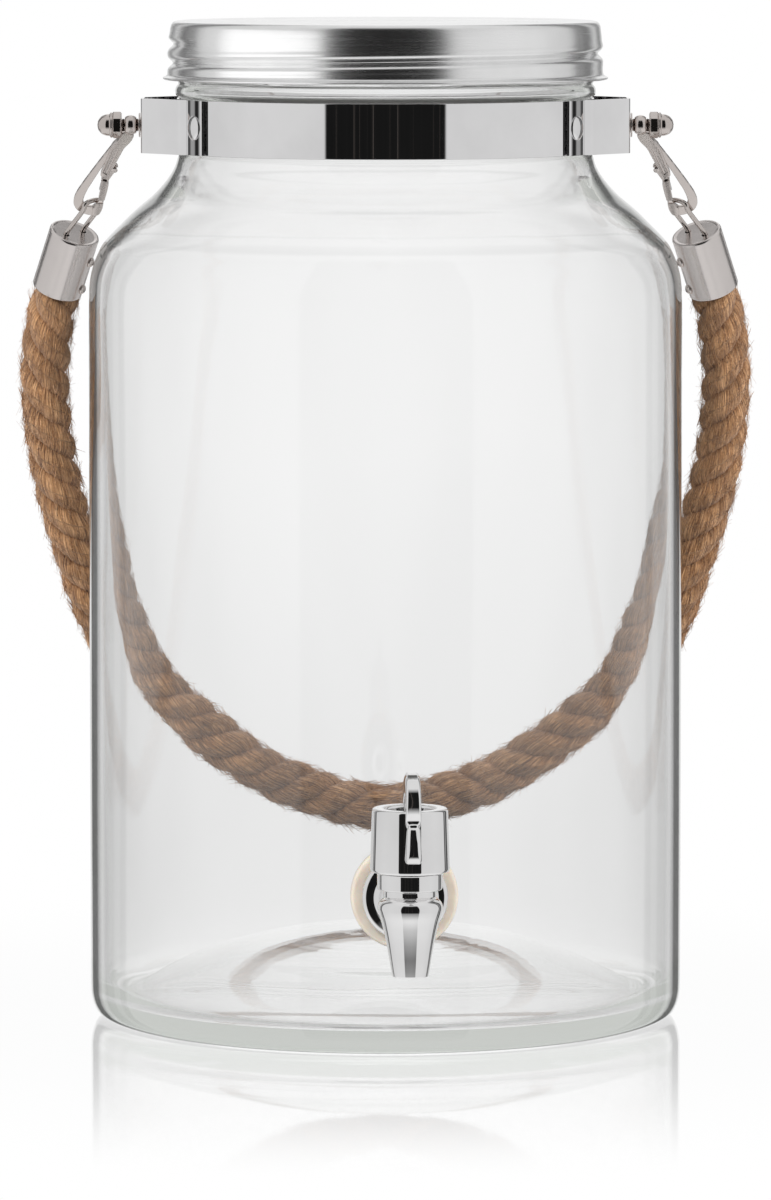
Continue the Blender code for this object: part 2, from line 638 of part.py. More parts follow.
def shank_fittings():
    axis = at(0, 0, SHANK_Z)
    outer = washer("outer_washer", 15.8, 6.2, FLANGE_Y + CLEAR)
    boolean(outer, rod("cut_outer_washer", JAR_R + CLEAR, 60, axis, 96))
    inner = washer("inner_washer", 12.5, 6.0, GLASS_MID_Y)
    boolean(inner, rod("keep_inner_washer", INNER_R - 0.5, 60, axis, 96), "INTERSECT")

    frame = shank_frame(LOCK_NUT_Y)
    nut = rod("lock_nut", hex_radius(22.0), 5.0, frame, 6, parts)
    boolean(nut, rod("cut_lock_nut", SHANK_R + CLEAR, 12, frame, 24))
    finish(nut, "nylon")


# ---- assembly ----
glass_jar()
lid()
half_bands = {"front": neck_band("front", -1), "rear": neck_band("rear", 1)}
for side_name, x_sign in (("left", -1), ("right", 1)):
    ear(side_name, x_sign, half_bands)
    handle_bolt(side_name, x_sign)
    snap_hook(side_name, x_sign)
    ferrule_and_shackle(side_name, x_sign)
rope()
spigot_body()
spigot_cap()
stem()
spring()
lever()
shank_fittings()
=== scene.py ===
"""A glass drinks dispenser: a jar with a screw lid, a neck band that carries a rope handle on
two spring hooks, and a lever tap low on the front.

The jar stands on z = 0 with its axis on Z. The front is -Y, and "left" is -X. Sizes are in mm
and are turned into metres when a mesh is made.
"""
import json
import math

import bmesh
import bpy
import numpy as np
from mathutils import Matrix, Vector


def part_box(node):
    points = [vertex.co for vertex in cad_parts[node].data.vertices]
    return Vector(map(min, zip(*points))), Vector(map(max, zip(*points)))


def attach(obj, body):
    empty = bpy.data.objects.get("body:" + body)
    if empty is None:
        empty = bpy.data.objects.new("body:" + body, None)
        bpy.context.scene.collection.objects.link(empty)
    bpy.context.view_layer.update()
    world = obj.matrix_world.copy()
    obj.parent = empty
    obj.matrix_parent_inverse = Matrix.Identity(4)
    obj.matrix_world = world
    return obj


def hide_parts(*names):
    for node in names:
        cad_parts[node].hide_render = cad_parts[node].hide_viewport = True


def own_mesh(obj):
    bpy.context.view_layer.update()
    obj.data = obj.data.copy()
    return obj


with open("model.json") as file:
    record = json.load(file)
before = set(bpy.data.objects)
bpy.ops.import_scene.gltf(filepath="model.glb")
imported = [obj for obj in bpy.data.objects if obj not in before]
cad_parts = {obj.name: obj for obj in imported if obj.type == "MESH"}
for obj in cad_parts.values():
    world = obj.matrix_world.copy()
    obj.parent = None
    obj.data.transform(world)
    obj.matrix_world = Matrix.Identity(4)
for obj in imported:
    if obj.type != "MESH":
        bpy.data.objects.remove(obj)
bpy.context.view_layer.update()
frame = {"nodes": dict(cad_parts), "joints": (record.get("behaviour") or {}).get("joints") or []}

MM = 0.001
TAU = math.tau


# ---------------------------------------------------------------- places from the CAD
def joint_at(name):
    return [v / MM for v in next(j for j in frame["joints"] if j["name"] == name)["pos_m"]]


def span(node_name, axis):
    low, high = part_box(node_name)
    return round(low[axis] / MM, 3), round(high[axis] / MM, 3)


AXIS_Z = joint_at("handle_swing_left")[2]
PIVOT = joint_at("handle_pivot")
TILT = math.atan2(PIVOT[1], AXIS_Z - PIVOT[2])          # how far the handle leans back at rest
FORWARD = (0, -math.cos(TILT), -math.sin(TILT))         # square to the plane of the handle
JAR_R = span("glass_jar", 0)[1]
WALL_Y = -88.0                                          # mid-wall, where the shank passes
THREAD_PITCH = 5.7                                      # of the jar mouth and the lid

BAND_R, BAND_T = -span("neck_band_front", 1)[0], 0.8
BAND_Z0, BAND_Z1 = span("neck_band_front", 2)
BAND_GAP = 0.32                                         # between band and ear
EAR_T = 0.9
BOLT_BORE_R = 2.32

FERRULE_TOP, FERRULE_END = (94.7, 36.4), (100.5, 55.6)  # (x, down) in the plane of the handle

# The tap is drawn pointing along -Y, then turned about Z with TURN.
LEVER = joint_at("lever_turn")
TURN = Matrix.Rotation(math.atan2(LEVER[0], -LEVER[1]), 4, "Z")
SHANK_Z = sum(span("outer_washer", 2)) / 2
TAP_Y, PIVOT_Z = -math.hypot(LEVER[0], LEVER[1]), LEVER[2]
NOSE_Y = TAP_Y - 1.6
FLANGE_Y = -JAR_R - 3.2
SEAL_BORE_R = 6.4


def at(x, y, z):
    return Matrix.Translation((x * MM, y * MM, z * MM))


def along(origin, direction, side=(0, 0, 1)):
    """A frame at origin with its z along direction and its x as near to side as it can be."""
    z = Vector(direction).normalized()
    x = Vector(side)
    x = x - z * x.dot(z)
    x.normalize()
    y = z.cross(x)
    m = Matrix((x, y, z)).transposed().to_4x4()
    m.translation = Vector(origin) * MM
    return m


def hang(x, down):
    """A point in the leaning plane of the handle, down from its swing axis."""
    return (x, down * math.sin(TILT), AXIS_Z - down * math.cos(TILT))


HANDLE_PLANE = at(0, 0, AXIS_Z) @ Matrix.Rotation(math.pi / 2 + TILT, 4, "X")
TAP_AXIS = TURN @ at(0, TAP_Y, 0)

# ---------------------------------------------------------------- mesh helpers
pieces = bpy.data.collections.new("dispenser_visual")
bpy.context.scene.collection.children.link(pieces)


def shade(mesh, sharp):
    """Smooth shading, with edges over sharp degrees kept sharp. 0 leaves the edges alone."""
    mesh.polygons.foreach_set("use_smooth", [True] * len(mesh.polygons))
    if sharp:
        mesh.set_sharp_from_angle(angle=math.radians(sharp))


def place(name, verts, faces, matrix=None, sharp=35.0):
    """A mesh in mm, moved by matrix, its points written in metres."""
    mesh = bpy.data.meshes.new(name)
    v = np.asarray(verts, float) * MM
    if matrix is not None:
        m = np.array(matrix)
        v = v @ m[:3, :3].T + m[:3, 3]
    mesh.from_pydata(v.tolist(), [], faces)
    mesh.validate()
    mesh.update()
    piece = bpy.data.objects.new(name, mesh)
    pieces.objects.link(piece)
    shade(mesh, sharp)
    return piece


def face_outwards(mesh, merge=True):
    """Normals pointing out, after near-coincident points are merged."""
    bm = bmesh.new()
    bm.from_mesh(mesh)
    if merge:
        bmesh.ops.remove_doubles(bm, verts=bm.verts, dist=0.0000008)
    bmesh.ops.recalc_face_normals(bm, faces=bm.faces)
    bm.to_mesh(mesh)
    bm.free()


def bake(piece, sharp=35.0, clean=True):
    """Modifiers applied to the mesh."""
    bpy.context.view_layer.update()
    depsgraph = bpy.context.evaluated_depsgraph_get()
    mesh = bpy.data.meshes.new_from_object(piece.evaluated_get(depsgraph))
    piece.modifiers.clear()
    old = piece.data
    piece.data = mesh
    bpy.data.meshes.remove(old)
    if clean:
        face_outwards(mesh)
    shade(mesh, sharp)


def plain_normals(piece):
    if "custom_normal" in piece.data.attributes:
        piece.data.attributes.remove(piece.data.attributes["custom_normal"])


def close_holes(piece):
    """Fills the pinholes a cut can leave, and leaves a closed mesh alone."""
    bm = bmesh.new()
    bm.from_mesh(piece.data)
    rim = [e for e in bm.edges if e.is_boundary]
    if rim:
        bmesh.ops.holes_fill(bm, edges=rim, sides=8)
        bm.to_mesh(piece.data)
    bm.free()


def weigh_normals(piece, weight, keep_sharp):
    modifier = piece.modifiers.new("wn", "WEIGHTED_NORMAL")
    modifier.keep_sharp = keep_sharp
    modifier.weight = weight


def boolean(piece, others, operation="DIFFERENCE", sharp=35.0, weigh=True):
    """Cuts, joins or intersects piece with others, which are used up."""
    plain_normals(piece)
    for other in others:
        plain_normals(other)
        cut = piece.modifiers.new("b", "BOOLEAN")
        cut.operation, cut.solver, cut.object = operation, "EXACT", other
    bake(piece, sharp)
    plain_normals(piece)
    if weigh:
        weigh_normals(piece, 50, True)
        bake(piece, 0, clean=False)
    for other in others:
        bpy.data.objects.remove(other, do_unlink=True)


def soften(piece, width, segments, sharp=35.0):
    """Edges rounded by a bevel, baked into the mesh."""
    bevel = piece.modifiers.new("bevel", "BEVEL")
    bevel.width, bevel.segments = width * MM, segments
    bevel.limit_method, bevel.angle_limit = "ANGLE", math.radians(32.0)
    bevel.use_clamp_overlap = True
    weigh_normals(piece, 60, False)
    bake(piece, sharp)


def fillet(points, radius, steps=5, closed=False):
    """Corners of a 2-D path rounded by short curves. radius is one value or one per point."""
    pts = [Vector(p) for p in points]
    out = []
    count = len(pts)
    for i, p in enumerate(pts):
        r = radius[i] if isinstance(radius, (list, tuple)) else radius
        if not closed and i in (0, count - 1) or r <= 0:
            out.append(p)
            continue
        before, after = pts[i - 1] - p, pts[(i + 1) % count] - p
        d = min(r, before.length * 0.5, after.length * 0.5)
        p1, p2 = p + before.normalized() * d, p + after.normalized() * d
        for j in range(steps + 1):
            t = j / steps
            out.append(p1 * (1 - t) ** 2 + p * 2 * t * (1 - t) + p2 * t * t)
    kept = [out[0]]
    for p in out[1:]:
        if (p - kept[-1]).length > 1e-4:
            kept.append(p)
    if closed and (kept[0] - kept[-1]).length < 1e-4:
        kept.pop()
    return [tuple(p) for p in kept]


def densify(points, step):
    out = [points[0]]
    for a, b in zip(points, points[1:]):
        k = max(1, int(math.ceil(math.dist(a, b) / step)))
        start, way = np.array(a), np.array(b) - np.array(a)
        out += [tuple(start + way * j / k) for j in range(1, k + 1)]
    return out


def thicken(path, half):
    """The outline of a strip that runs half to each side of a 2-D path."""
    left, right = [], []
    for i, p in enumerate(path):
        a, b = Vector(path[max(i - 1, 0)]), Vector(path[min(i + 1, len(path) - 1)])
        way = (b - a).normalized()
        normal = Vector((-way.y, way.x))
        mitre = 1.0
        if 0 < i < len(path) - 1:
            first = (Vector(p) - a).normalized()
            mitre = 1.0 / max(0.5, Vector((-first.y, first.x)).dot(normal))
        left.append((p[0] + normal.x * half * mitre, p[1] + normal.y * half * mitre))
        right.append((p[0] - normal.x * half * mitre, p[1] - normal.y * half * mitre))
    return left + right[::-1]


def lathe(name, profile, steps=96, closed=False, matrix=None, warp=None, sharp=35.0):
    """A profile of (radius, height) turned about Z, running down its outer side.
    warp(row, theta, r, z) gives a new radius."""
    theta = np.arange(steps) * TAU / steps
    verts, index = [], np.zeros((len(profile), steps), int)
    for i, (r, z) in enumerate(profile):
        if r < 1e-6:
            index[i, :] = len(verts)
            verts.append((0.0, 0.0, z))
        else:
            index[i, :] = len(verts) + np.arange(steps)
            rr = np.full(steps, r) if warp is None else warp(i, theta, r, z)
            verts += list(zip(rr * np.cos(theta), rr * np.sin(theta), np.full(steps, z)))
    faces = []
    rows = len(profile)
    for i in range(rows if closed else rows - 1):
        a, d = index[i], index[(i + 1) % rows]
        b, c = np.roll(a, -1), np.roll(d, -1)
        for quad in zip(a, d, c, b):
            face = list(dict.fromkeys(int(v) for v in quad))    # a pole repeats its point
            if len(face) > 2:
                faces.append(face)
    return place(name, verts, faces, matrix, sharp)


def slab(name, outline, thickness, matrix=None, bevel=0.0, segments=3):
    """A flat outline made solid, with softened edges."""
    area = sum(a[0] * b[1] - b[0] * a[1] for a, b in zip(outline, outline[1:] + outline[:1]))
    if area < 0:
        outline = outline[::-1]
    n = len(outline)
    verts = [(x, y, z) for z in (thickness / 2, -thickness / 2) for x, y in outline]
    faces = [list(range(n)), list(range(2 * n - 1, n - 1, -1))]
    faces += [[i, i + n, (i + 1) % n + n, (i + 1) % n] for i in range(n)]
    piece = place(name, verts, faces, matrix)
    if bevel:
        soften(piece, bevel, segments, 50.0)
    return piece


def rod(name, radius, length, matrix, sides=48):
    h = length / 2
    return lathe(name, [(0, h), (radius, h), (radius, -h), (0, -h)], sides, matrix=matrix)


def thread_rows(z, end, crest, root, pitch):
    """Profile points of a thread that runs down from z to end."""
    rows = []
    while z > end:
        rows += [(crest, z), (root, z - pitch / 2)]
        z -= pitch
    return rows


def ring_faces(rings, sides):
    """Quads between neighbouring rings of points."""
    return [[i * sides + j, i * sides + (j + 1) % sides,
             (i + 1) * sides + (j + 1) % sides, (i + 1) * sides + j]
            for i in range(rings - 1) for j in range(sides)]


def tube_faces(rings, sides):
    last = [(rings - 1) * sides + j for j in range(sides)]
    return ring_faces(rings, sides) + [list(range(sides))[::-1], last]


def curve_points(points, step):
    """A smooth path through points (Catmull-Rom), resampled evenly, and the distance along it."""
    p = np.array(points, float)
    p = np.vstack([2 * p[0] - p[1], p, 2 * p[-1] - p[-2]])
    out = []
    for i in range(1, len(p) - 2):
        for t in np.linspace(0, 1, 24, endpoint=False):
            a, b, c, d = p[i - 1], p[i], p[i + 1], p[i + 2]
            out.append(0.5 * (2 * b + (c - a) * t + (2 * a - 5 * b + 4 * c - d) * t ** 2
                              + (3 * b - a - 3 * c + d) * t ** 3))
    out.append(p[-2])
    out = np.array(out)
    s = np.concatenate([[0], np.cumsum(np.linalg.norm(np.diff(out, axis=0), axis=1))])
    k = max(4, int(round(s[-1] / step)))
    u = np.linspace(0, s[-1], k + 1)
    return np.column_stack([np.interp(u, s, out[:, c]) for c in range(3)]), u


def unit_rows(vectors):
    return vectors / np.linalg.norm(vectors, axis=1)[:, None]


def tube(name, points, radius, sides, step, matrix):
    path = curve_points(points, step)[0]
    way = unit_rows(np.gradient(path, axis=0))
    ref = np.array([0.0, 0.0, 1.0]) if abs(way[0][2]) < 0.9 else np.array([1.0, 0.0, 0.0])
    normal = np.cross(way[0], ref)
    normal /= np.linalg.norm(normal)
    a = np.arange(sides) * TAU / sides
    verts = []
    for i in range(len(path)):
        normal = normal - way[i] * normal.dot(way[i])
        normal /= np.linalg.norm(normal)
        across = np.cross(way[i], normal)
        ring = path[i] + radius * (np.cos(a)[:, None] * normal + np.sin(a)[:, None] * across)
        verts += ring.tolist()
    return place(name, verts, tube_faces(len(path), sides), matrix)


# ---------------------------------------------------------------- shader helpers
def feed(tree, value, socket):
    """Links a node (its first output) or a socket, or sets a plain value."""
    if isinstance(value, bpy.types.Node):
        value = value.outputs[0]
    if isinstance(value, bpy.types.NodeSocket):
        tree.links.new(value, socket)
    else:
        socket.default_value = value


def node(tree, kind, *inputs, **values):
    """A shader node. Inputs go by position, or by name with _ for a space. Other names are
    properties of the node."""
    made = tree.nodes.new("ShaderNode" + kind)
    for key, value in values.items():
        name = key.replace("_", " ")
        if name in made.inputs:
            feed(tree, value, made.inputs[name])
        else:
            setattr(made, key, value)
    for i, value in enumerate(inputs):
        feed(tree, value, made.inputs[i])
    return made


def maths(tree, operation, *inputs):
    return node(tree, "Math", *inputs, operation=operation)


def mix(tree, factor, first, second, blend_type="MIX"):
    return node(tree, "MixRGB", factor, first, second, blend_type=blend_type)


def map_range(tree, value, source, target, **values):
    return node(tree, "MapRange", Value=value, From_Min=source[0], From_Max=source[1],
                To_Min=target[0], To_Max=target[1], **values)


def spread(tree, noise, low, high):
    """Noise, which mostly lies between 0.3 and 0.7, spread over low to high."""
    return map_range(tree, noise, (0.3, 0.7), (low, high))


def bump(tree, height, depth, strength=1.0):
    return node(tree, "Bump", Strength=strength, Distance=depth * MM, Height=height)


def rgba(colour):
    """A grey level or an RGB triple with full alpha."""
    if isinstance(colour, float):
        colour = (colour,) * 3
    return (*colour, 1.0)


def ramp(tree, source, stops):
    made = node(tree, "ValToRGB", source)
    elements = made.color_ramp.elements
    while len(elements) > len(stops):
        elements.remove(elements[-1])
    while len(elements) < len(stops):
        elements.new(0.5)
    for element, (position, colour) in zip(elements, stops):
        element.position = position
        element.color = rgba(colour)
    return made


def object_coords(tree):
    return node(tree, "TexCoord").outputs["Object"]


def coords(tree, scale=(1, 1, 1)):
    return node(tree, "Mapping", object_coords(tree), Scale=scale)


def turned_coords(tree, fine, around):
    """(distance from the Z axis, height, angle), for marks left by spinning round that axis."""
    centred = node(tree, "VectorMath", object_coords(tree), (0, 0, 0), operation="SUBTRACT")
    x, y, z = node(tree, "SeparateXYZ", centred).outputs
    squares = maths(tree, "ADD", maths(tree, "POWER", x, 2), maths(tree, "POWER", y, 2))
    radius = maths(tree, "SQRT", squares)
    angle = maths(tree, "ARCTAN2", y, x)
    scaled = [maths(tree, "MULTIPLY", source, factor)
              for source, factor in ((radius, fine), (z, fine), (angle, around))]
    return node(tree, "CombineXYZ", *scaled)


def new_material(name):
    material = bpy.data.materials.new(name)
    material.use_nodes = True
    material.node_tree.nodes.clear()
    return material, material.node_tree


# ---------------------------------------------------------------- materials
def metal(name, colour, rough, vary, smudge, scale=1.0, vector=coords, depth=0.0):
    """vary is the fine change in roughness, smudge the broad one, depth the height of the
    fine marks in mm."""
    material, tree = new_material(name)
    fine = node(tree, "TexNoise", vector(tree), Scale=scale, Detail=3.0, Roughness=0.6)
    broad = node(tree, "TexNoise", coords(tree), Scale=38.0, Detail=4.0, Roughness=0.55)
    roughness = maths(tree, "ADD", spread(tree, fine, -vary, vary),
                      spread(tree, broad, rough - smudge * 0.5, rough + smudge))
    dark = tuple(c * 0.93 for c in colour)
    skin = node(tree, "BsdfPrincipled", Metallic=1.0,
                Roughness=maths(tree, "MAXIMUM", roughness, 0.012),
                Base_Color=ramp(tree, broad, [(0.35, dark), (0.62, colour)]))
    if depth:
        feed(tree, bump(tree, fine, depth), skin.inputs["Normal"])
    node(tree, "OutputMaterial", Surface=skin)
    return material


# painted shade: how the wall's colour darkens where it is seen nearly edge-on: (facing, level)
GLASS_EDGE_SHADE = [(0.0, 0.985), (0.715, 0.985), (0.745, 0.30), (0.77, 0.05), (0.86, 0.05),
              (0.90, 0.22), (0.94, 0.50), (0.98, 0.16)]


def glass_material():
    material, tree = new_material("clear_glass")
    # the painted dark edge shows from outside and mirrored in the floor
    facing = node(tree, "LayerWeight", Blend=0.5).outputs["Facing"]
    ray = node(tree, "LightPath").outputs
    first = maths(tree, "LESS_THAN", ray["Ray Depth"], 1.5)
    mirrored = maths(tree, "MULTIPLY", first, ray["Is Glossy Ray"])
    outside = maths(tree, "MAXIMUM", mirrored, ray["Is Camera Ray"])
    edge_shade = mix(tree, outside, rgba(0.985), ramp(tree, facing, GLASS_EDGE_SHADE))
    ripple = node(tree, "TexNoise", coords(tree, (60.0, 60.0, 14.0)),
                  Scale=1.0, Detail=2.0, Roughness=0.5)
    skin = node(tree, "BsdfPrincipled", Roughness=0.0, IOR=1.48, Transmission_Weight=1.0,
                Base_Color=edge_shade, Normal=bump(tree, ripple, 0.06, strength=0.35))
    # shadow rays pass straight through
    clear = node(tree, "BsdfTransparent", Color=rgba(0.985))
    path = node(tree, "LightPath").outputs
    body = node(tree, "MixShader", path["Is Shadow Ray"], skin, clear)
    # painted glow: light that has been reflected again and again is replaced by an even grey
    # emission, the tone of the rim
    rim_glow = node(tree, "Emission", Color=rgba((0.60, 0.61, 0.59)))
    often = maths(tree, "GREATER_THAN", path["Glossy Depth"], 5.5)
    material.cycles.emission_sampling = "NONE"
    node(tree, "OutputMaterial", Surface=node(tree, "MixShader", often, body, rim_glow),
         Volume=node(tree, "VolumeAbsorption", Density=2.0, Color=rgba((0.72, 0.82, 0.73))))
    return material


def jute_material(name, light, mid, dark, along_scale):
    """Fibres that follow the fibre_u (length) and fibre_v (angle) attributes of the rope, and
    darken where groove is high: on the strands this is painted shade in the hollows where they
    press together and in the seams between yarns, on the loose hairs a darker tone at random."""
    material, tree = new_material(name)
    length, angle, groove = (node(tree, "Attribute", attribute_name=a).outputs["Fac"]
                             for a in ("fibre_u", "fibre_v", "groove"))
    vector = node(tree, "CombineXYZ", maths(tree, "COSINE", angle), maths(tree, "SINE", angle),
                  length)
    mapped = node(tree, "Mapping", vector, Scale=(9.0, 9.0, along_scale))
    hair = node(tree, "TexNoise", mapped, Scale=1.0, Detail=5.0, Roughness=0.7)
    patch = node(tree, "TexNoise", coords(tree), Scale=130.0, Detail=3.0)
    hue = ramp(tree, hair, [(0.36, dark), (0.49, mid), (0.63, light)])
    shift = ramp(tree, patch, [(0.32, (0.80, 0.76, 0.72)), (0.68, (1.12, 1.08, 1.02))])
    patched = mix(tree, 1.0, hue, shift, "MULTIPLY")
    # groove multiplies a brown into the colour: painted shade in the hollows of the strands, a
    # random darker tone on hairs
    skin = node(tree, "BsdfPrincipled", Roughness=0.92, Sheen_Weight=0.25, Sheen_Roughness=0.6,
                Base_Color=mix(tree, groove, patched, rgba((0.50, 0.40, 0.33)), "MULTIPLY"),
                Normal=bump(tree, hair, 0.55))
    node(tree, "OutputMaterial", Surface=skin)
    return material


def soft_material(name, colour, rough, scale, translucent=0.0, depth=0.02):
    material, tree = new_material(name)
    noise = node(tree, "TexNoise", coords(tree), Scale=scale, Detail=4.0)
    dark = tuple(c * 0.9 for c in colour)
    skin = node(tree, "BsdfPrincipled",
                Base_Color=ramp(tree, noise, [(0.3, dark), (0.7, colour)]),
                Roughness=spread(tree, noise, rough - 0.06, rough + 0.06),
                Normal=bump(tree, noise, depth, strength=0.5))
    if translucent:
        skin.inputs["Subsurface Weight"].default_value = translucent
        skin.inputs["Subsurface Radius"].default_value = (0.006, 0.003, 0.0018)
        skin.inputs["Subsurface Scale"].default_value = 1.0
    node(tree, "OutputMaterial", Surface=skin)
    return material


chrome = metal("chrome_mirror", (0.90, 0.895, 0.90), rough=0.022, vary=0.006, smudge=0.015,
               scale=700.0)
tap_chrome = metal("chrome_tap", (0.92, 0.915, 0.915), rough=0.022, vary=0.006, smudge=0.015,
                   scale=900.0)
nickel = metal("nickel_plate", (0.66, 0.605, 0.575), rough=0.10, vary=0.03, smudge=0.05,
               scale=1500.0, depth=0.0012)
steel = metal("bright_steel", (0.66, 0.66, 0.66), rough=0.2, vary=0.05, smudge=0.03,
              scale=1400.0, depth=0.003)
lid_metal = metal("spun_aluminium", (0.93, 0.93, 0.93), rough=0.235, vary=0.03, smudge=0.03,
                  vector=lambda tree: turned_coords(tree, fine=5200.0, around=1.3),
                  depth=0.0015)
ferrule_metal = metal("polished_nickel", (0.76, 0.71, 0.69), rough=0.21, vary=0.02,
                      smudge=0.05, depth=0.0006,
                      vector=lambda tree: coords(tree, scale=(2600.0, 2600.0, 160.0)))
glass = glass_material()
jute = jute_material("jute_rope", light=(0.86, 0.54, 0.30), mid=(0.46, 0.24, 0.105),
                     dark=(0.15, 0.066, 0.028), along_scale=0.24)
silicone = soft_material("silicone_peach", (0.93, 0.80, 0.68), rough=0.38, scale=260.0,
                         translucent=0.35)
liner_foam = soft_material("liner_foam", (0.84, 0.83, 0.79), rough=0.7, scale=1800.0, depth=0.05)
nylon = soft_material("white_nylon", (0.80, 0.80, 0.78), rough=0.42, scale=700.0)
rubber = soft_material("black_rubber", (0.03, 0.03, 0.03), rough=0.65, scale=900.0)


def give(piece, material, body, slot, *nodes):
    """Gives a piece its material and the body it rides on, and hides the CAD nodes it replaces.
    slot is not used.
    """
    piece.data.materials.clear()
    piece.data.materials.append(material)
    if nodes:
        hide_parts(*nodes)
    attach(piece, body)


# ---------------------------------------------------------------- glass jar
def thread_depth(theta, z, lift=0.0):
    """How deep the rolled thread is at a point, 0 to 1: one turn that climbs a pitch and fades
    at both ends."""
    mid_z, half_width, overlap, fade_length = 292.4, 1.05, 0.55, 0.5
    depth = np.zeros_like(theta)
    wrapped = np.where(theta > math.pi, theta - TAU, theta)
    for lap in (-1, 0, 1):
        t = wrapped + lap * TAU
        fade = np.clip((math.pi + overlap - np.abs(t)) / fade_length, 0, 1)
        fade = fade * fade * (3 - 2 * fade)
        d = z - (mid_z + lift + THREAD_PITCH * t / TAU)
        depth = np.maximum(depth, fade * np.exp(-(d / half_width) ** 2))
    return depth


# (radius, height): up the inside from the centre of the base
JAR_INNER = [
    (0, 26.6), (20, 25.9), (40, 23.2), (57.5, 17.8), (69, 12.2), (76, 8.4), (80.5, 6.6),
    (84.0, 8.0), (85.6, 11.6), (86, 17), (86, 60), (86, 214), (85.3, 223), (83.6, 229),
    (79.6, 236.2), (75, 240.6), (69, 245.6), (63.4, 250.4), (60, 254.6), (58.6, 259),
    (58.2, 264), (58.2, 290), (58.2, 297.0), (58.8, 298.2)]
# (radius, height): over the rim, down the outside and in under the base
JAR_OUTER = [
    (58.8, 298.2), (61.6, 298.2), (62.8, 297.0), (62.9, 290.0), (62.9, 284.0), (62.6, 283.2),
    (63.3, 282.6), (63.7, 281.2), (63.5, 280.0), (62.4, 279.2), (61.9, 278.9), (61.9, 262.6),
    (62.7, 261.6), (63.5, 258.6), (65.5, 255), (69.6, 250.1), (75.7, 245.2), (80.2, 240.7),
    (83.9, 237), (85.9, 234.6), (88.3, 229.3), (89.6, 224.3), (90, 215), (90, 60), (90, 7.5),
    (89.4, 4.2), (88.2, 1.6), (86.2, 0.4), (84.2, 0.0), (81.2, 0.0), (79.0, 0.9), (75, 3.2),
    (68, 7.2), (57, 12.6), (40, 17.9), (20, 20.7), (0, 21.4)]


def build_jar():
    inner = densify(fillet(JAR_INNER, 40), 3.0)
    outer = []
    for p in densify(fillet(JAR_OUTER, 12), 3.0):
        if outer and 284.4 < p[1] < 297.6 and outer[-1][1] - p[1] > 0.45:
            # closer rows where the thread is
            a = outer[-1]
            k = int((a[1] - p[1]) / 0.4) + 1
            outer += [(a[0] + (p[0] - a[0]) * j / k, a[1] + (p[1] - a[1]) * j / k)
                      for j in range(1, k)]
        outer.append(p)

    def warp(row, th, r, z):
        if row < len(inner):      # the inside of pressed glass is never quite true
            w = np.clip((z - 14) / 30, 0, 1) * np.clip((286 - z) / 30, 0, 1)
            return r + w * (0.10 * np.sin(3 * th + 1.1 + z * 0.011)
                            + 0.07 * np.sin(5 * th + z * 0.043)
                            + 0.045 * np.sin(11 * th + 0.7 + z * 0.026)
                            + 0.018 * np.sin(23 * th + z * 0.05))
        if 284.2 < z < 298:
            return r + 0.45 * thread_depth(th, z, THREAD_PITCH / 2)
        if 262 < z < 283.6 or z < 12:
            return np.full_like(th, r)
        return r + 0.05 * np.sin(4 * th + z * 0.03) + 0.03 * np.sin(9 * th + 2 + z * 0.02)

    jar = lathe("jar_glass", inner + outer[1:], 224, warp=warp, sharp=0)
    hole = rod("hole", 6.6, 30, TURN @ along((0, WALL_Y, SHANK_Z), (0, 1, 0)), 64)
    boolean(jar, [hole], sharp=60, weigh=False)
    give(jar, glass, "root", "glass", "glass_jar")


build_jar()

# ---------------------------------------------------------------- lid
# (radius, height): outside from the centre, the curled lower edge, its return, the inside
LID_TOP = [(0, 301.3), (57.0, 301.3), (59.2, 301.7), (60.6, 302.2), (62.6, 302.3),
           (64.1, 302.0), (64.8, 301.0), (65.1, 299.4), (65.3, 297.4)]
LID_CURL = [(65.75, 286.5), (65.9, 286.0), (66.6, 285.5), (67.25, 285.25), (67.3, 284.85),
            (66.9, 284.6)]
LID_RETURN = [(66.3, 284.75), (66.0, 285.0), (65.2, 285.6), (64.95, 286.2)]
LID_UNDER = [(64.4, 298.6), (63.9, 300.4), (62.2, 301.3), (60.6, 301.2), (58.8, 300.6),
             (57.0, 300.4), (0, 300.4)]


def build_lid():
    sheet = 0.8
    wall = [(65.32 + 0.4 * (297.2 - z) / 10.6, z) for z in np.arange(297.2, 286.6, -0.25)]
    outside = fillet(LID_TOP, 0.9, 6) + wall + fillet(LID_CURL, 0.3, 4)
    inside = LID_RETURN + [(r - sheet, z) for r, z in reversed(wall)] + LID_UNDER

    def warp(row, theta, r, z):
        if not 286.0 < z < 298.5:
            return np.full_like(theta, r)
        # the thread is pressed in, with a slight swelling above and below it
        return (r - 1.35 * thread_depth(theta, z) + 0.25 * thread_depth(theta, z, 2.4)
                + 0.2 * thread_depth(theta, z, -2.4))

    lid = lathe("lid_spun", outside + inside, 320, warp=warp, sharp=60)
    give(lid, lid_metal, "lid", "lid_aluminium", "lid_shell")


build_lid()


# ---------------------------------------------------------------- neck band
def build_band(where, side):
    """Half of the neck band, side -1 at the front and 1 at the rear."""
    inner_r = BAND_R - BAND_T
    section = fillet([(inner_r, BAND_Z0), (BAND_R, BAND_Z0), (BAND_R, BAND_Z1),
                      (inner_r, BAND_Z1)], 0.22, 4, True)
    start, end, steps = math.radians(0.6), math.pi - math.radians(0.6), 150
    verts, m = [], len(section)
    for i in range(steps + 1):
        a = start + (end - start) * i / steps
        verts += [(r * math.cos(a), side * r * math.sin(a), z) for r, z in section]
    faces = ring_faces(steps + 1, m) + [list(range(m)), [steps * m + j for j in range(m)]]
    band = place("band_" + where, verts, faces)
    face_outwards(band.data, merge=False)
    weigh_normals(band, 50, False)
    shade(band.data, 60)
    give(band, chrome, "root", "chrome", "neck_band_" + where)


build_band("front", -1)
build_band("rear", 1)


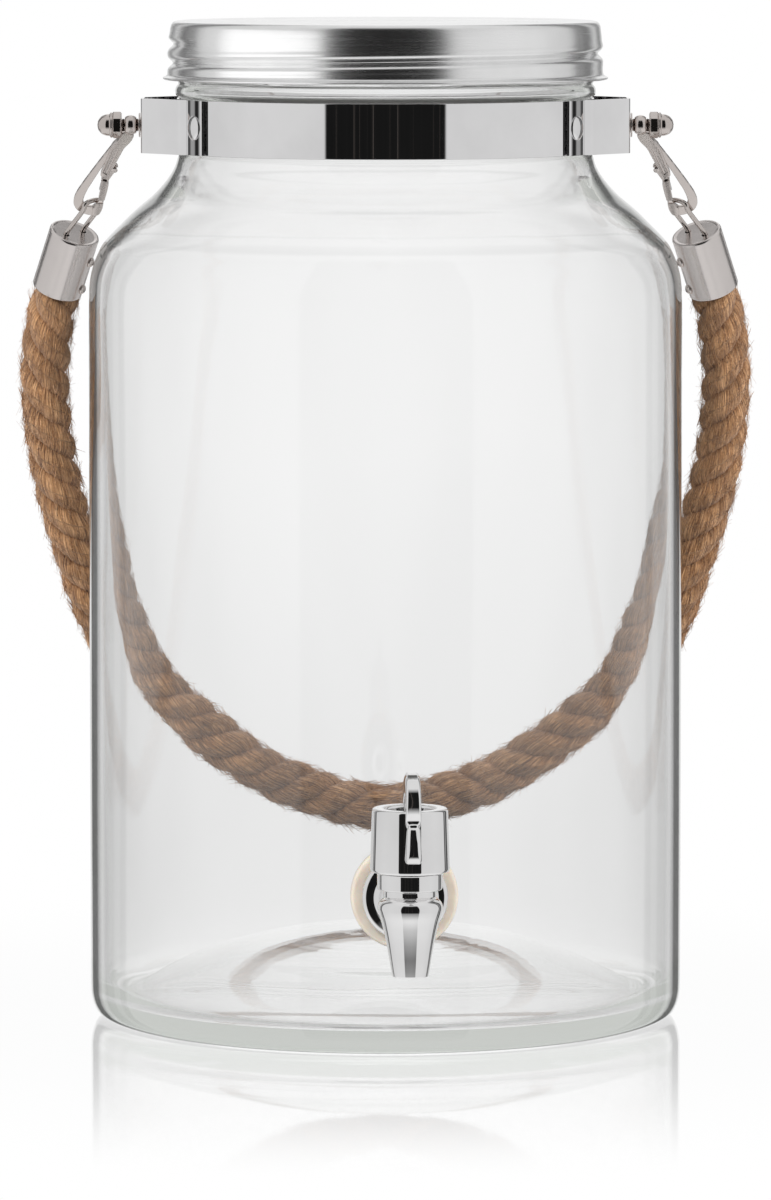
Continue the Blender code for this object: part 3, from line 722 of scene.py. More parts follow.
# ---------------------------------------------------------------- ears, rivets, bolts
# In these and the hook pieces, sign is -1 on the left and 1 on the right.
def build_ear(tag, sign):
    tab_r = BAND_R + BAND_GAP + EAR_T / 2
    angles = [math.radians(a) for a in np.linspace(31.5, 21.6, 9)]
    tab = [(tab_r * math.cos(a), tab_r * math.sin(a)) for a in angles]
    half = tab + [(61.6, 22.4), (72.15, 9.0), (73.35, 7.8)]         # (x, y), the rear half
    path = fillet(half + [(x, -y) for x, y in reversed(half)], 0.9)
    outline = [(sign * x, y) for x, y in thicken(path, EAR_T / 2)]
    ear = slab("ear_" + tag, outline, BAND_Z1 - BAND_Z0, at(0, 0, (BAND_Z0 + BAND_Z1) / 2),
               0.14, 2)
    boolean(ear, [rod("hole", BOLT_BORE_R, 8, along((sign * 73.8, 0, AXIS_Z), (1, 0, 0)), 40)])
    give(ear, chrome, "root", "chrome", "ear_bracket_" + tag)


# (radius, height above the ear) of a rivet
RIVET = [(0, 1.35), (1.6, 1.2), (3.0, 0.75), (3.7, 0.2), (3.5, 0.06), (1.5, 0.05),
         (1.5, -1.9), (0, -1.9)]


def build_rivets(tag, sign):
    a = math.radians(27)
    for where, side in (("front", -1), ("rear", 1)):
        way = (sign * math.cos(a), side * math.sin(a), 0)
        seat = [c * (BAND_R + BAND_GAP + EAR_T) for c in way]
        rivet = lathe("rivet_%s_%s" % (where, tag), fillet(RIVET, 0.7), 48,
                      matrix=along((seat[0], seat[1], AXIS_Z), way))
        give(rivet, chrome, "root", "chrome", "band_rivet_%s_%s" % (where, tag))


# (radius, distance from the centre plane), working inwards
BOLT_TIP = [(0, 84.7), (1.6, 84.7), (1.95, 84.3)]
BOLT_HEAD = [(2.0, 72.7), (2.0, 72.58), (3.55, 72.58), (3.6, 72.4), (3.6, 71.2), (3.1, 70.4),
             (0, 70.1)]
BOLT_WASHER = [(3.7, 74.58), (3.7, 74.12), (BOLT_BORE_R, 74.12), (BOLT_BORE_R, 74.58)]
NUT_DOME = [(0, 87.2), (1.5, 86.9), (2.7, 85.9), (3.3, 84.5), (3.35, 83.35), (3.85, 83.25),
            (3.85, 82.65), (3.4, 82.3), (2.35, 82.3), (2.35, 85.1), (0, 85.1)]
NUT_HEX = [(3.2, 82.7), (4.05, 82.3), (4.05, 80.1), (3.5, 79.75), (2.35, 79.75), (2.35, 82.7)]


def build_bolt(tag, sign):
    """Bolt, washer and domed nut on the swing axis."""
    axis = along((0, 0, AXIS_Z), (sign, 0, 0))
    profile = BOLT_TIP + thread_rows(84.2, 73.4, crest=2.0, root=1.72, pitch=0.7) + BOLT_HEAD
    bolt = lathe("bolt_" + tag, profile, 40, matrix=axis, sharp=25)
    give(bolt, nickel, "root", "nickel", "handle_bolt_" + tag)
    washer = lathe("washer_" + tag, fillet(BOLT_WASHER, 0.12, 3, True), 48, True, axis)
    give(washer, nickel, "root", "nickel", "nut_washer_" + tag)
    nut = lathe("nut_" + tag, fillet(NUT_DOME, 0.5), 56, matrix=axis)
    hexagon = lathe("hexa", NUT_HEX, 6, True, axis)
    soften(hexagon, 0.15, 2)
    boolean(nut, [hexagon], "UNION", 30)
    give(nut, nickel, "root", "nickel", "dome_nut_" + tag)


# ---------------------------------------------------------------- hooks
# Outlines in the plane of the handle: (distance from the centre plane, down from the swing axis)
HOOK_BLADE = [
    (80.4, 4.4), (82.6, 6.2), (85.1, 9.6), (87.4, 12.8), (90.0, 16.5), (92.3, 19.9),
    (94.0, 22.6), (94.8, 24.6), (94.9, 26.5), (94.0, 28.3), (92.3, 29.5), (90.4, 30.1),
    (88.5, 30.3), (87.1, 29.7), (86.2, 28.0), (85.7, 25.9), (87.9, 25.8), (88.2, 26.9),
    (89.3, 27.3), (90.8, 27.1), (91.7, 26.4), (92.0, 25.2), (91.5, 23.6), (90.35, 21.1),
    (88.8, 18.6), (86.8, 15.2), (83.6, 10.2), (80.2, 7.6)]
HOOK_NOSE = [(85.7, 25.9), (87.9, 25.8), (88.2, 26.9), (89.2, 27.5), (89.3, 30.1),
             (88.4, 30.3), (87.1, 29.7), (86.2, 28.0)]
HOOK_BAR = [(75.9, 2.6), (79.3, 1.6), (80.9, 4.6), (82.9, 6.6), (86.7, 16.5), (84.2, 17.6),
            (81.9, 12.6), (79.2, 7.2), (76.9, 4.8)]
BAR_GROOVE = [(80.9, 7.7), (81.8, 7.2), (82.5, 7.6), (85.6, 15.4), (84.5, 16.0), (81.2, 8.6)]
GATE_SLOT = [(80.2, 13.2), (83.2, 12.0), (84.9, 13.0), (86.1, 15.2), (87.0, 16.7),
             (87.2, 19.0), (80.2, 19.0)]
GATE = [(84.5, 18.6), (86.3, 17.95), (86.65, 21.2), (87.4, 24.9), (85.45, 25.0),
        (84.65, 22.2), (84.05, 19.6)]
GATE_TONGUE = [(81.0, 13.9), (82.2, 13.0), (83.3, 13.8), (86.0, 18.6), (86.2, 20.6),
               (84.9, 20.6), (84.0, 18.4)]
GATE_LEAF = [(86.2, 18.7), (86.55, 20.2), (86.9, 21.6)]             # centre line
GATE_PIN = Vector((82.1, 14.4))
# (radius, height) along the swing axis and along the gate pin
HOOK_EYE = [(0, 1.95), (2.3, 1.95), (3.0, 0.7), (3.0, -0.7), (2.3, -1.95), (0, -1.95)]
PIN_PROFILE = [(0, 1.86), (0.6, 1.83), (0.92, 1.7), (0.55, 1.66), (0.55, -1.66),
               (0.92, -1.7), (0.6, -1.83), (0, -1.86)]


def flat(name, sign, outline, thickness, bevel=0.0, segments=3, rounding=0.0, offset=0.0):
    """A slab in the plane of the handle, moved forward by offset."""
    if rounding:
        outline = fillet(outline, rounding, 4, True)
    return slab(name, [(sign * x, -down) for x, down in outline], thickness,
                HANDLE_PLANE @ at(0, 0, offset), bevel, segments)


def pin_frame(sign):
    return along(hang(sign * GATE_PIN.x, GATE_PIN.y), FORWARD)


def pin_bore(sign):
    return rod("pinbore", 0.87, 8, pin_frame(sign), 24)


def build_hook(tag, sign):
    """A flat outer blade and a thicker grooved bar, both off one nose and eye."""
    bore = along((sign * 77.1, 0, AXIS_Z), (1, 0, 0))
    hook = flat("hookplate_" + tag, sign, HOOK_BLADE, 1.5, 0.22, 3, 0.7)
    nose = flat("nose", sign, HOOK_NOSE, 2.7, 0.5, 4, 0.5)
    bar = flat("bar", sign, HOOK_BAR, 3.3, rounding=0.9)
    boolean(bar, [flat("groove", sign, BAR_GROOVE, 1.0, offset=o) for o in (1.75, -1.75)],
            weigh=False)
    soften(bar, 0.24, 3)
    eye = lathe("eye", fillet(HOOK_EYE, 0.8, 6), 56, matrix=bore)
    boolean(hook, [nose, bar, eye], "UNION", 30)
    cutters = [flat("slot", sign, GATE_SLOT, 1.3), rod("bore", BOLT_BORE_R, 12, bore, 40),
               pin_bore(sign)]
    boolean(hook, cutters, "DIFFERENCE", 30)
    close_holes(hook)
    give(hook, nickel, "hook_link_" + tag, "nickel", "hook_" + tag)


def build_gate(tag, sign):
    """The gate that closes the hook, its pin and its leaf spring."""
    body = "gate_" + tag
    gate = flat(body, sign, GATE, 2.7, 0.42, 4, 0.35)
    tongue = flat("tongue", sign, GATE_TONGUE, 1.1, 0.1, 2, 0.4)
    boolean(gate, [tongue], "UNION", 30)
    boolean(gate, [pin_bore(sign)], sharp=30)
    give(gate, nickel, body, "nickel", "hook_gate_" + tag)
    pin = lathe("gatepin_" + tag, fillet(PIN_PROFILE, 0.1, 4), 32, matrix=pin_frame(sign))
    give(pin, nickel, "hook_link_" + tag, "nickel", "gate_pin_" + tag)
    leaf = flat("leaf_" + tag, sign, thicken(fillet(GATE_LEAF, 1.2), 0.13), 1.35, 0.05, 2)
    give(leaf, steel, body, "steel", "gate_spring_" + tag)


# ---------------------------------------------------------------- ferrules and shackles
# (radius, height above the head seat) of a ferrule screw
SCREW = [(0, 1.3), (0.9, 1.1), (1.5, 0.6), (1.6, 0.06), (0.8, 0.04), (0.8, -0.6), (0, -0.6)]


def build_screw(name, tag, seat):
    screw = lathe("screw_%s_%s" % (name, tag), fillet(SCREW, 0.5), 40, matrix=seat)
    cross = [slab("cross", [(-a, -b), (a, -b), (a, b), (-a, b)], 1.1, seat @ at(0, 0, 1.35))
             for a, b in ((0.8, 0.16), (0.16, 0.8))]
    boolean(screw, cross, sharp=30)
    give(screw, nickel, "rope_handle", "nickel", "ferrule_screw_%s_%s" % (name, tag))


def build_ferrule(tag, sign):
    """The cup on the rope end, its two screws and the shackle that hangs it on the hook."""
    top = Vector(hang(sign * FERRULE_TOP[0], FERRULE_TOP[1]))
    end = Vector(hang(sign * FERRULE_END[0], FERRULE_END[1]))
    axis, length = (top - end).normalized(), (top - end).length
    cup = along(tuple(end), tuple(axis), (-sign, 0, 0))
    profile = fillet([(0, length - 0.25), (6.5, length - 0.25), (6.9, length),
                      (7.5, length - 0.05), (7.75, length - 0.5), (7.75, 0.25), (7.55, 0.0),
                      (7.0, 0.0), (6.9, 0.2), (6.9, length - 1.2), (0, length - 1.2)], 0.3, 4)
    ferrule = lathe("ferrule_cup_" + tag, profile, 96, matrix=cup)
    reach = 3.6                                 # of each shackle leg from the ferrule axis
    yaw = math.radians(45) * -sign
    legs = [(reach * math.cos(yaw) * k, reach * math.sin(yaw) * k) for k in (-1, 1)]
    boolean(ferrule, [rod("leg", 1.0, 6, cup @ at(x, y, length), 32) for x, y in legs],
            sharp=30)
    give(ferrule, ferrule_metal, "rope_handle", "nickel", "ferrule_" + tag)

    turn = -1 if (cup.to_3x3() @ Vector((0, 1, 0))).y > 0 else 1
    for height, name in ((length * 0.66, "upper"), (length * 0.18, "lower")):
        seat = (cup @ at(0, 0, height) @ Matrix.Rotation(math.radians(26) * turn, 4, "Z")
                @ Matrix.Rotation(math.pi / 2, 4, "Y") @ at(0, 0, 7.6))
        build_screw(name, tag, seat)

    crown = (cup.inverted() @ (Vector(hang(sign * 89.5, 27.95)) * MM)) / MM
    path = [(*legs[1], length - 2.6), (*legs[1], length + 0.8)]
    for k in range(13):
        a = math.pi * k / 12
        off = reach * math.cos(a)
        path.append((off * math.cos(yaw) + crown.x, off * math.sin(yaw) + crown.y,
                     crown.z + 2.6 - 3.4 + 3.4 * math.sin(a) ** 0.35))
    path += [(*legs[0], length + 0.8), (*legs[0], length - 2.6)]
    give(tube("staple_" + tag, path, 0.75, 20, 0.3, cup), nickel, "rope_handle", "nickel",
         "shackle_" + tag)


for tag, sign in (("left", -1), ("right", 1)):
    for build in (build_ear, build_rivets, build_bolt, build_hook, build_gate, build_ferrule):
        build(tag, sign)

# ---------------------------------------------------------------- rope
# centre line below the right ferrule: (x, down) in the plane of the handle
ROPE_SIDE = [(103.4, 70.0), (104.8, 84.0), (104.7, 98.0), (103.2, 114.0), (100.4, 130.0),
             (95.5, 150.0), (90.2, 168.5), (82.0, 187.0), (70.5, 201.5), (57.0, 214.5),
             (41.0, 227.3), (24.0, 235.0), (8.0, 239.8)]
STRAND_OFFSET, STRAND_R = 3.25, 4.2
LAY = 31.5                  # length of rope in which a strand goes once round
SQUEEZE = 6.4 / 7.75        # how thin the rope is inside the ferrules
STRAND_SIDES = 66
YARNS = 7


def rope_piece(name, verts, faces, fibre_u, fibre_v, groove):
    piece = place(name, verts, faces, sharp=0)
    for key, values in (("fibre_u", fibre_u), ("fibre_v", fibre_v), ("groove", groove)):
        layer = piece.data.attributes.new(key, "FLOAT", "POINT")
        layer.data.foreach_set("value", np.asarray(values, np.float32))
    return piece


def build_strands(path, u, way, scale):
    """Three twisted strands. Returns their centre lines and cross-section axes."""
    normal = np.array(FORWARD)
    normal /= np.linalg.norm(normal)
    across = unit_rows(np.cross(way, normal))
    from_middle = np.sqrt((u - u[-1] / 2) ** 2 + 36.0)
    turn = TAU * from_middle / LAY
    # the yarns are twisted against the strands, so that the outer fibres lie along the rope
    lean = math.atan(TAU * STRAND_OFFSET / LAY)
    twist = (TAU / LAY * (STRAND_OFFSET + STRAND_R) / (STRAND_R * math.cos(lean))
             * from_middle)
    a = np.arange(STRAND_SIDES) * TAU / STRAND_SIDES
    # the side of each strand that faces the other two, where groove paints shade
    inward = np.clip((np.abs(((a + math.pi) % TAU) - math.pi) - 0.9) / 0.7, 0, 1)
    draw = np.random.RandomState(11)
    # fibres (waves round, drift along, phase, weight) and lumps (the same without a weight)
    waves = [(draw.randint(8, 30), draw.normal(0, 0.6), draw.uniform(0, TAU),
              draw.uniform(0.4, 1.0)) for _ in range(26)]
    slow = [(draw.randint(1, 5), draw.normal(0, 0.25), draw.uniform(0, TAU)) for _ in range(8)]
    strands = []
    for k in range(3):
        verts, fibre_u, fibre_v, groove = [], [], [], []
        psi = turn + TAU * k / 3
        wobble = 0.12 * np.sin(u * 0.21 + k * 2.1) + 0.08 * np.sin(u * 0.53 + k)
        radial = np.cos(psi)[:, None] * normal + np.sin(psi)[:, None] * across
        centre = path + radial * ((STRAND_OFFSET + wobble * 0.5) * scale)[:, None]
        run = unit_rows(np.gradient(centre, axis=0))
        e1 = unit_rows(radial - run * np.sum(radial * run, axis=1)[:, None])
        e2 = np.cross(run, e1)
        for i in range(len(path)):
            ph = a + twist[i]
            q = u[i] * 0.55 + 40.0 * k
            hair = sum(w * np.sin(m * ph + f * q + o) for m, f, o, w in waves) / 9.0
            lump = sum(np.sin(m * ph + f * q + o) for m, f, o in slow) / 5.0
            seam = 1 - np.abs(np.sin(YARNS * ph / 2 + 0.4 * lump))
            r = STRAND_R + wobble[i] * 0.6 - 0.26 * seam ** 2.2 + 0.17 * hair + 0.20 * lump
            r = r * scale[i]
            ring = centre[i] + r[:, None] * (np.cos(a)[:, None] * e1[i]
                                             + np.sin(a)[:, None] * e2[i])
            verts += ring.tolist()
            fibre_u += [u[i]] * STRAND_SIDES
            fibre_v += ph.tolist()
            # painted shade: groove is high on the inner side and in the seams between yarns, with
            # a little fibre noise
            groove += np.clip(inward + 0.55 * seam ** 3 + 0.12 * hair, 0, 1).tolist()
        strands.append((centre, e1, e2))
        strand = rope_piece("rope_strand_%d" % (k + 1), verts,
                            tube_faces(len(path), STRAND_SIDES), fibre_u, fibre_v, groove)
        give(strand, jute, "rope_handle", "jute_rope", *(("rope",) if k == 0 else ()))
    return strands


def build_hairs(strands, free, u, way, scale):
    """Loose hairs: most lie along the rope close to the strands, some stand off."""
    draw = np.random.RandomState(5)
    count, segments, sides, lots = 27000, 3, 3, 3
    centres, side1, side2 = (np.stack([strand[j] for strand in strands]) for j in range(3))
    i, k = draw.choice(free, count), draw.randint(0, 3, count)
    angle = draw.normal(0, 0.85, count)[:, None]
    e1, e2 = side1[k, i], side2[k, i]
    off = np.cos(angle) * e1 + np.sin(angle) * e2
    across = -np.sin(angle) * e1 + np.cos(angle) * e2
    run = (way[i] * draw.choice((-1.0, 1.0), (count, 1)) * draw.uniform(0.6, 1.0, (count, 1))
           + across * draw.normal(0, 0.30, (count, 1))
           + off * draw.uniform(-0.04, 0.16, (count, 1)))
    run = unit_rows(run)
    length = draw.uniform(1.4, 5.2, (count, 1))
    lift = draw.uniform(0.05, 1.0, (count, 1)) ** 2.5
    curl = draw.normal(0, 0.30, (count, 3))
    radius = draw.uniform(0.045, 0.10, (count, 1))
    start = centres[k, i] + off * (4.12 * scale[i])[:, None]
    n1 = unit_rows(across - run * np.sum(across * run, axis=1)[:, None])
    n2 = np.cross(run, n1)
    verts = np.zeros((count, segments + 1, sides, 3))
    fibre_u = np.zeros((count, segments + 1, sides))
    for q in range(segments + 1):
        f = q / segments
        p = start + run * length * f + off * (lift * f ** 1.6) + curl * (f ** 2)
        w = radius * (1 - 0.55 * f)
        for j in range(sides):
            a = TAU * j / sides
            verts[:, q, j] = p + w * (math.cos(a) * n1 + math.sin(a) * n2)
            fibre_u[:, q, j] = u[i] + f * length[:, 0]
    per_hair = (segments + 1) * sides
    verts, fibre_u = verts.reshape(-1, 3), fibre_u.reshape(-1)
    fibre_v = np.repeat(np.arange(count) * 0.7, per_hair)
    groove = np.repeat(draw.uniform(0, 1, count) ** 3 * 0.5, per_hair)
    last = segments * sides
    hair = ring_faces(segments + 1, sides) + [[0, 2, 1], [last, last + 1, last + 2]]
    per_lot = count // lots
    faces = [[h * per_hair + v for v in face] for h in range(per_lot) for face in hair]
    for lot in range(lots):
        part = slice(lot * per_lot * per_hair, (lot + 1) * per_lot * per_hair)
        piece = rope_piece("rope_hairs_%d" % (lot + 1), verts[part].tolist(), faces,
                           fibre_u[part], fibre_v[part], groove[part])
        give(piece, jute, "rope_handle", "jute_rope")


def build_rope():
    top, end = np.array(FERRULE_TOP), np.array(FERRULE_END)
    way = (end - top) / np.linalg.norm(end - top)
    start = top + way * 4.0
    half = [tuple(start), tuple(end - way * 0.3), tuple(end + way * 2.0)] + ROPE_SIDE
    line = [(-x, down) for x, down in half] + list(reversed(half))
    path, u = curve_points([hang(x, down) for x, down in line], 0.55)
    run = unit_rows(np.gradient(path, axis=0))
    # thinner inside the ferrules
    inside = np.linalg.norm(end - start) + 0.2
    edge = np.minimum(u, u[-1] - u)
    scale = SQUEEZE + (1 - SQUEEZE) * np.clip((edge - inside - 0.1) / 3.0, 0, 1) ** 0.8
    strands = build_strands(path, u, run, scale)
    free = np.array([i for i in range(len(path)) if edge[i] > inside + 2.2])
    build_hairs(strands, free, u, run, scale)


build_rope()


# ---------------------------------------------------------------- tap
def shank_axis(y, side=(0, 0, 1)):
    """A frame on the axis of the shank, its z pointing into the jar."""
    return TURN @ along((0, y, SHANK_Z), (0, 1, 0), side)


# (radius, height): about the vertical axes of the nose and of the tap
TAP_NOSE = [(0, 52.3), (4.6, 52.1), (7.4, 51.3), (9.1, 49.8), (9.55, 48.3), (9.2, 46.4),
            (8.3, 43.6), (7.35, 39.8), (6.55, 35.7), (5.9, 31.6), (5.32, 28.3), (5.1, 28.0),
            (0, 28.0)]
TAP_NOSE_ROUND = [0] + [3] * 9 + [0.3, 0.2, 0]
TAP_COLLAR = [(0, 58.2), (9.2, 58.2), (9.5, 57.9), (9.5, 53.6), (9.2, 53.3), (7.7, 53.1),
              (7.7, 47.0), (0, 47.0)]
TAP_CHAMBER = [(0, 60), (6.1, 60), (6.1, 43.6), (3.6, 42.4), (3.6, 40.6), (0, 40.6)]
TAP_CAP = [(7.35, 76.5), (8.0, 77.1), (10.5, 77.1), (11.05, 76.5), (11.6, 59.2),
           (11.3, 58.55), (5.9, 58.55), (5.9, 66.0), (2.35, 66.4), (2.35, 70.6), (7.35, 70.6)]
TAP_CAP_ROUND = [0.4, 0.5, 0.6, 0.6, 0.4, 0.3] + [0.2] * 5
# (radius, distance out from the tip, negative) along the shank: tip, plain part, flange, neck
SHANK_L = 24.6
SHANK_TIP = [(0, 0), (5.6, 0), (6.0, -0.5)]
SHANK_PLAIN = [(6.0, -20.4), (6.0, -SHANK_L)]
SHANK_FLANGE = [(6.0, -SHANK_L), (12.7, -SHANK_L), (12.7, -26.3), (11.9, -27.2), (9.0, -27.7),
                (7.7, -28.9), (7.6, -31.0), (7.6, -44.0), (0, -44.0)]
SHANK_FLANGE_ROUND = [0, 0.3, 0.6, 0.8, 1.2, 1.2, 1.0, 0.3, 0]


def build_tap_body():
    body = lathe("tap_body", fillet(TAP_NOSE, TAP_NOSE_ROUND, 6), 128,
                 matrix=TURN @ at(0, NOSE_Y, 0))
    collar = lathe("collar", fillet(TAP_COLLAR, 0.25), 128, matrix=TAP_AXIS)
    profile = (SHANK_TIP + thread_rows(-1.0, -19.5, crest=6.0, root=5.55, pitch=1.4)
               + SHANK_PLAIN + fillet(SHANK_FLANGE, SHANK_FLANGE_ROUND, 6)[1:])
    shank = lathe("shank", profile, 96, matrix=shank_axis(FLANGE_Y + SHANK_L), sharp=30)
    boolean(shank, [rod("bore", 3.5, 60, shank_axis(TAP_Y + 34), 64)], sharp=30, weigh=False)
    boolean(body, [collar, shank], "UNION", 32)
    chamber = lathe("chamber", TAP_CHAMBER, 64, matrix=TAP_AXIS)
    outlet = rod("outlet", 3.5, 24, TURN @ at(0, (TAP_Y + 2 * NOSE_Y) / 3, 32.0), 64)
    inlet = rod("bore", 3.3, 14, shank_axis(TAP_Y + 9), 64)
    boolean(body, [chamber, outlet, inlet], "DIFFERENCE", 32)
    give(body, tap_chrome, "root", "spigot_chrome", "spigot_body")


def build_tap_cap():
    cap = lathe("tap_cap", fillet(TAP_CAP, TAP_CAP_ROUND, 5, True), 128, True, TAP_AXIS,
                sharp=40)
    give(cap, tap_chrome, "root", "spigot_chrome", "spigot_cap")


# side view of the lever arch: (forward from the tap axis, height)
LEVER_OUTER = [
    (-3.6, 75.0), (-3.0, 79.5), (-0.6, 84.2), (3.8, 87.8), (8.8, 88.8), (13.4, 87.4),
    (16.6, 84.2), (17.8, 80.8), (17.3, 77.4), (16.1, 74.9), (16.5, 74.0), (17.5, 73.0),
    (17.9, 68.0), (17.8, 64.4), (16.9, 62.9), (15.8, 62.6)]
LEVER_INNER = [
    (-3.6, 75.0), (-3.2, 73.2), (-1.6, 72.0), (0.6, 71.8), (2.6, 72.6), (3.8, 74.4),
    (4.6, 77.6), (6.6, 80.6), (9.2, 81.8), (11.8, 81.2), (13.4, 79.0), (13.9, 75.4),
    (14.3, 72.0), (14.4, 66.0), (14.7, 63.6), (15.8, 62.6)]


def resample(path, count):
    p = np.array(path)
    s = np.concatenate([[0], np.cumsum(np.linalg.norm(np.diff(p, axis=0), axis=1))])
    q = np.linspace(0, s[-1], count)
    return np.column_stack([np.interp(q, s, p[:, 0]), np.interp(q, s, p[:, 1])])


def squared(value):
    """A sine or cosine pushed towards 1 or -1, which squares off a circle."""
    return math.copysign(abs(value) ** 0.3, value)


def build_lever():
    """The arch is a ladder of cross-sections so that its width can change down the front leg."""
    rings, sides, half_width, neck_z = 120, 56, 2.28, 74.2
    outer = resample(fillet(LEVER_OUTER, 3, 6), rings)
    inner = resample(fillet(LEVER_INNER, 3, 6), rings)
    verts = []
    for j in range(rings):
        centre, half = (outer[j] + inner[j]) / 2, (outer[j] - inner[j]) / 2
        height = outer[j][1]
        w, ridge, flat_w = half_width, 0.0, 0.0
        if centre[0] > 12 and height < 76.2:
            # tongue: pinched at the neck, then wider, with a flat that opens downwards
            f = float(np.clip((neck_z - height) / 11.0, 0, 1))
            pinch = math.exp(-((height - neck_z) / 0.75) ** 2)
            w = (1.95 + 0.6 * f if height < neck_z else half_width) - 0.35 * pinch
            ridge = 0.8 * min(1.0, f * 8)
            flat_w = 1.75 * f ** 1.1
        from_end = min(j, rings - 1 - j)
        if from_end < 5:
            w *= min(1.0, 0.6 + 0.4 * math.sqrt(from_end / 5))
        for a in np.linspace(0, TAU, sides, endpoint=False):
            r = squared(math.sin(a))
            x = w * squared(math.cos(a)) * (1 - 0.11 * r * r)
            p = centre + half * r
            if ridge and r > 0.6:
                rise = ridge * min(1.0, (w - abs(x)) / max(0.35, w - flat_w))
                p = p + np.array([rise, 0.0])
            verts.append((p[0], p[1], x))
    upright = TURN @ along((0, TAP_Y, 0), (-1, 0, 0), (0, -1, 0))
    lever = place("tap_lever", verts, tube_faces(rings, sides), upright, sharp=50)
    face_outwards(lever.data)
    slot = slab("slot", [(-1.1, -4.5), (1.1, -4.5), (1.1, 4.5), (-1.1, 4.5)], 12.0,
                TURN @ at(0, TAP_Y, 74.6))
    pin_hole = rod("pinhole", 1.3, 10, TURN @ along((0, TAP_Y, PIVOT_Z), (1, 0, 0)), 32)
    boolean(lever, [slot, pin_hole], sharp=40)
    give(lever, tap_chrome, "lever_arm", "spigot_chrome", "lever")


# (radius, distance into the jar)
OUTER_SEAL = [(15.8, 6.2), (15.8, 0.0), (SEAL_BORE_R, 0.0), (SEAL_BORE_R, 6.2)]
INNER_SEAL = [(12.5, 6.0), (12.5, 0.0), (SEAL_BORE_R, 0.0), (SEAL_BORE_R, 6.0)]
LOCK_NUT = [(11.6, 2.5), (12.7, 1.9), (12.7, -1.9), (11.6, -2.5), (6.32, -2.5), (6.32, 2.5)]


def build_seals():
    """Washers shaped to the wall outside and inside the jar, and the six-sided lock nut."""
    outer = lathe("seal_outer", fillet(OUTER_SEAL, [0.2, 1.3, 0.2, 0.2], 7, True), 128, True,
                  shank_axis(FLANGE_Y + 0.32))
    boolean(outer, [rod("wall", JAR_R + 0.32, 60, at(0, 0, SHANK_Z), 256)], sharp=35)
    give(outer, silicone, "root", "silicone", "outer_washer")
    inner = lathe("seal_inner", fillet(INNER_SEAL, [0.2, 0.8, 0.2, 0.2], 5, True), 96, True,
                  shank_axis(WALL_Y))
    boolean(inner, [rod("wall", 85.5, 60, at(0, 0, SHANK_Z), 256)], "INTERSECT", 35)
    give(inner, silicone, "root", "silicone", "inner_washer")
    nut = lathe("locknut", LOCK_NUT, 6, True, shank_axis(-79.1, (1, 0, 0)))
    soften(nut, 0.5, 3, 40)
    give(nut, nylon, "root", "white_nylon", "lock_nut")


def build_spring():
    """Five turns, built at one length: in the tap they shorten as the stem lifts."""
    radius, foot, height = 3.6, 52.5, 12.5
    coil = [(radius * math.cos(TAU * i / 20), radius * math.sin(TAU * i / 20),
             foot + height * i / 100) for i in range(101)]
    spring = tube("return_spring", coil, 0.4, 12, 0.5, TAP_AXIS)
    give(spring, steel, "root", "steel", "spring")
    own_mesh(spring)


build_tap_body()
build_tap_cap()
build_lever()
build_seals()
build_spring()

# pieces whose CAD shape is right keep it, with a full material
for name, material in (("stem", steel), ("lever_pin", steel), ("valve_seal", rubber),
                       ("lid_liner", liner_foam)):
    piece = frame["nodes"][name]
    piece.data.materials.clear()
    piece.data.materials.append(material)


# ---------------------------------------------------------------- studio
def turned(tree, direction):
    """A direction as seen from the camera's side: to the right, away along the ground, and up.
    The studio keeps its place round the camera, as if the object stood on a turntable."""
    def to_camera(vector):
        return node(tree, "VectorTransform", vector, vector_type="VECTOR",
                    convert_from="WORLD", convert_to="CAMERA")

    seen, up = to_camera(direction), to_camera((0, 0, 1))
    cross = node(tree, "VectorMath", up, seen, operation="CROSS_PRODUCT")
    return [node(tree, "SeparateXYZ", vector).outputs[i]
            for vector, i in ((seen, 0), (cross, 0), (direction, 2))]


def azimuth(tree, right, ahead):
    """Angle away from the backdrop: 0 behind the object, 1 behind the camera."""
    angle = maths(tree, "ARCTAN2", maths(tree, "ABSOLUTE", right), ahead)
    return maths(tree, "DIVIDE", angle, math.pi)


# level of the studio through glass: (degrees from the backdrop, level)
THROUGH_GLASS = [(0, 0.97), (2.5, 0.95), (6, 0.89), (12, 0.80), (24, 0.72), (46, 0.66),
                 (74, 0.56), (96, 0.56), (130, 0.72), (180, 0.84)]
# level of the studio in mirrors: (azimuth, level)
IN_MIRRORS = [
    (0.0, 0.96), (0.080, 0.93), (0.094, 0.16), (0.150, 0.20), (0.164, 0.90), (0.185, 0.88),
    (0.222, 0.06), (0.265, 0.07), (0.274, 0.34), (0.296, 0.34), (0.303, 0.02), (0.322, 0.02),
    (0.334, 0.68), (0.56, 0.72), (0.812, 0.69), (0.821, 0.0), (1.0, 0.0)]
# thin upright bands in the dark behind the camera: (noise, colour)
STANDS = [(0.0, 0.006), (0.56, 0.010), (0.62, (0.07, 0.06, 0.055)),
          (0.68, (0.16, 0.15, 0.15)), (0.74, (0.03, 0.03, 0.03))]


def seen_through(tree, direction):
    """The studio as it shows through glass: white behind, greyer the further a ray is bent
    aside and the lower it points."""
    right, ahead, rise = turned(tree, direction)
    side = ramp(tree, azimuth(tree, right, ahead),
                [(degrees / 180.0, level) for degrees, level in THROUGH_GLASS])
    low = map_range(tree, rise, (-0.125, -0.075), (0.90, 1.0))
    return node(tree, "VectorMath", side, operation="SCALE", Scale=low)


def set_render(scene):
    scene.view_settings.view_transform = "Standard"
    scene.view_settings.look = "None"
    scene.view_settings.exposure = 0.0
    cycles = scene.cycles
    cycles.caustics_reflective = cycles.caustics_refractive = False
    cycles.max_bounces = 28
    cycles.glossy_bounces = 16
    cycles.transmission_bounces = 24
    cycles.transparent_max_bounces = 16


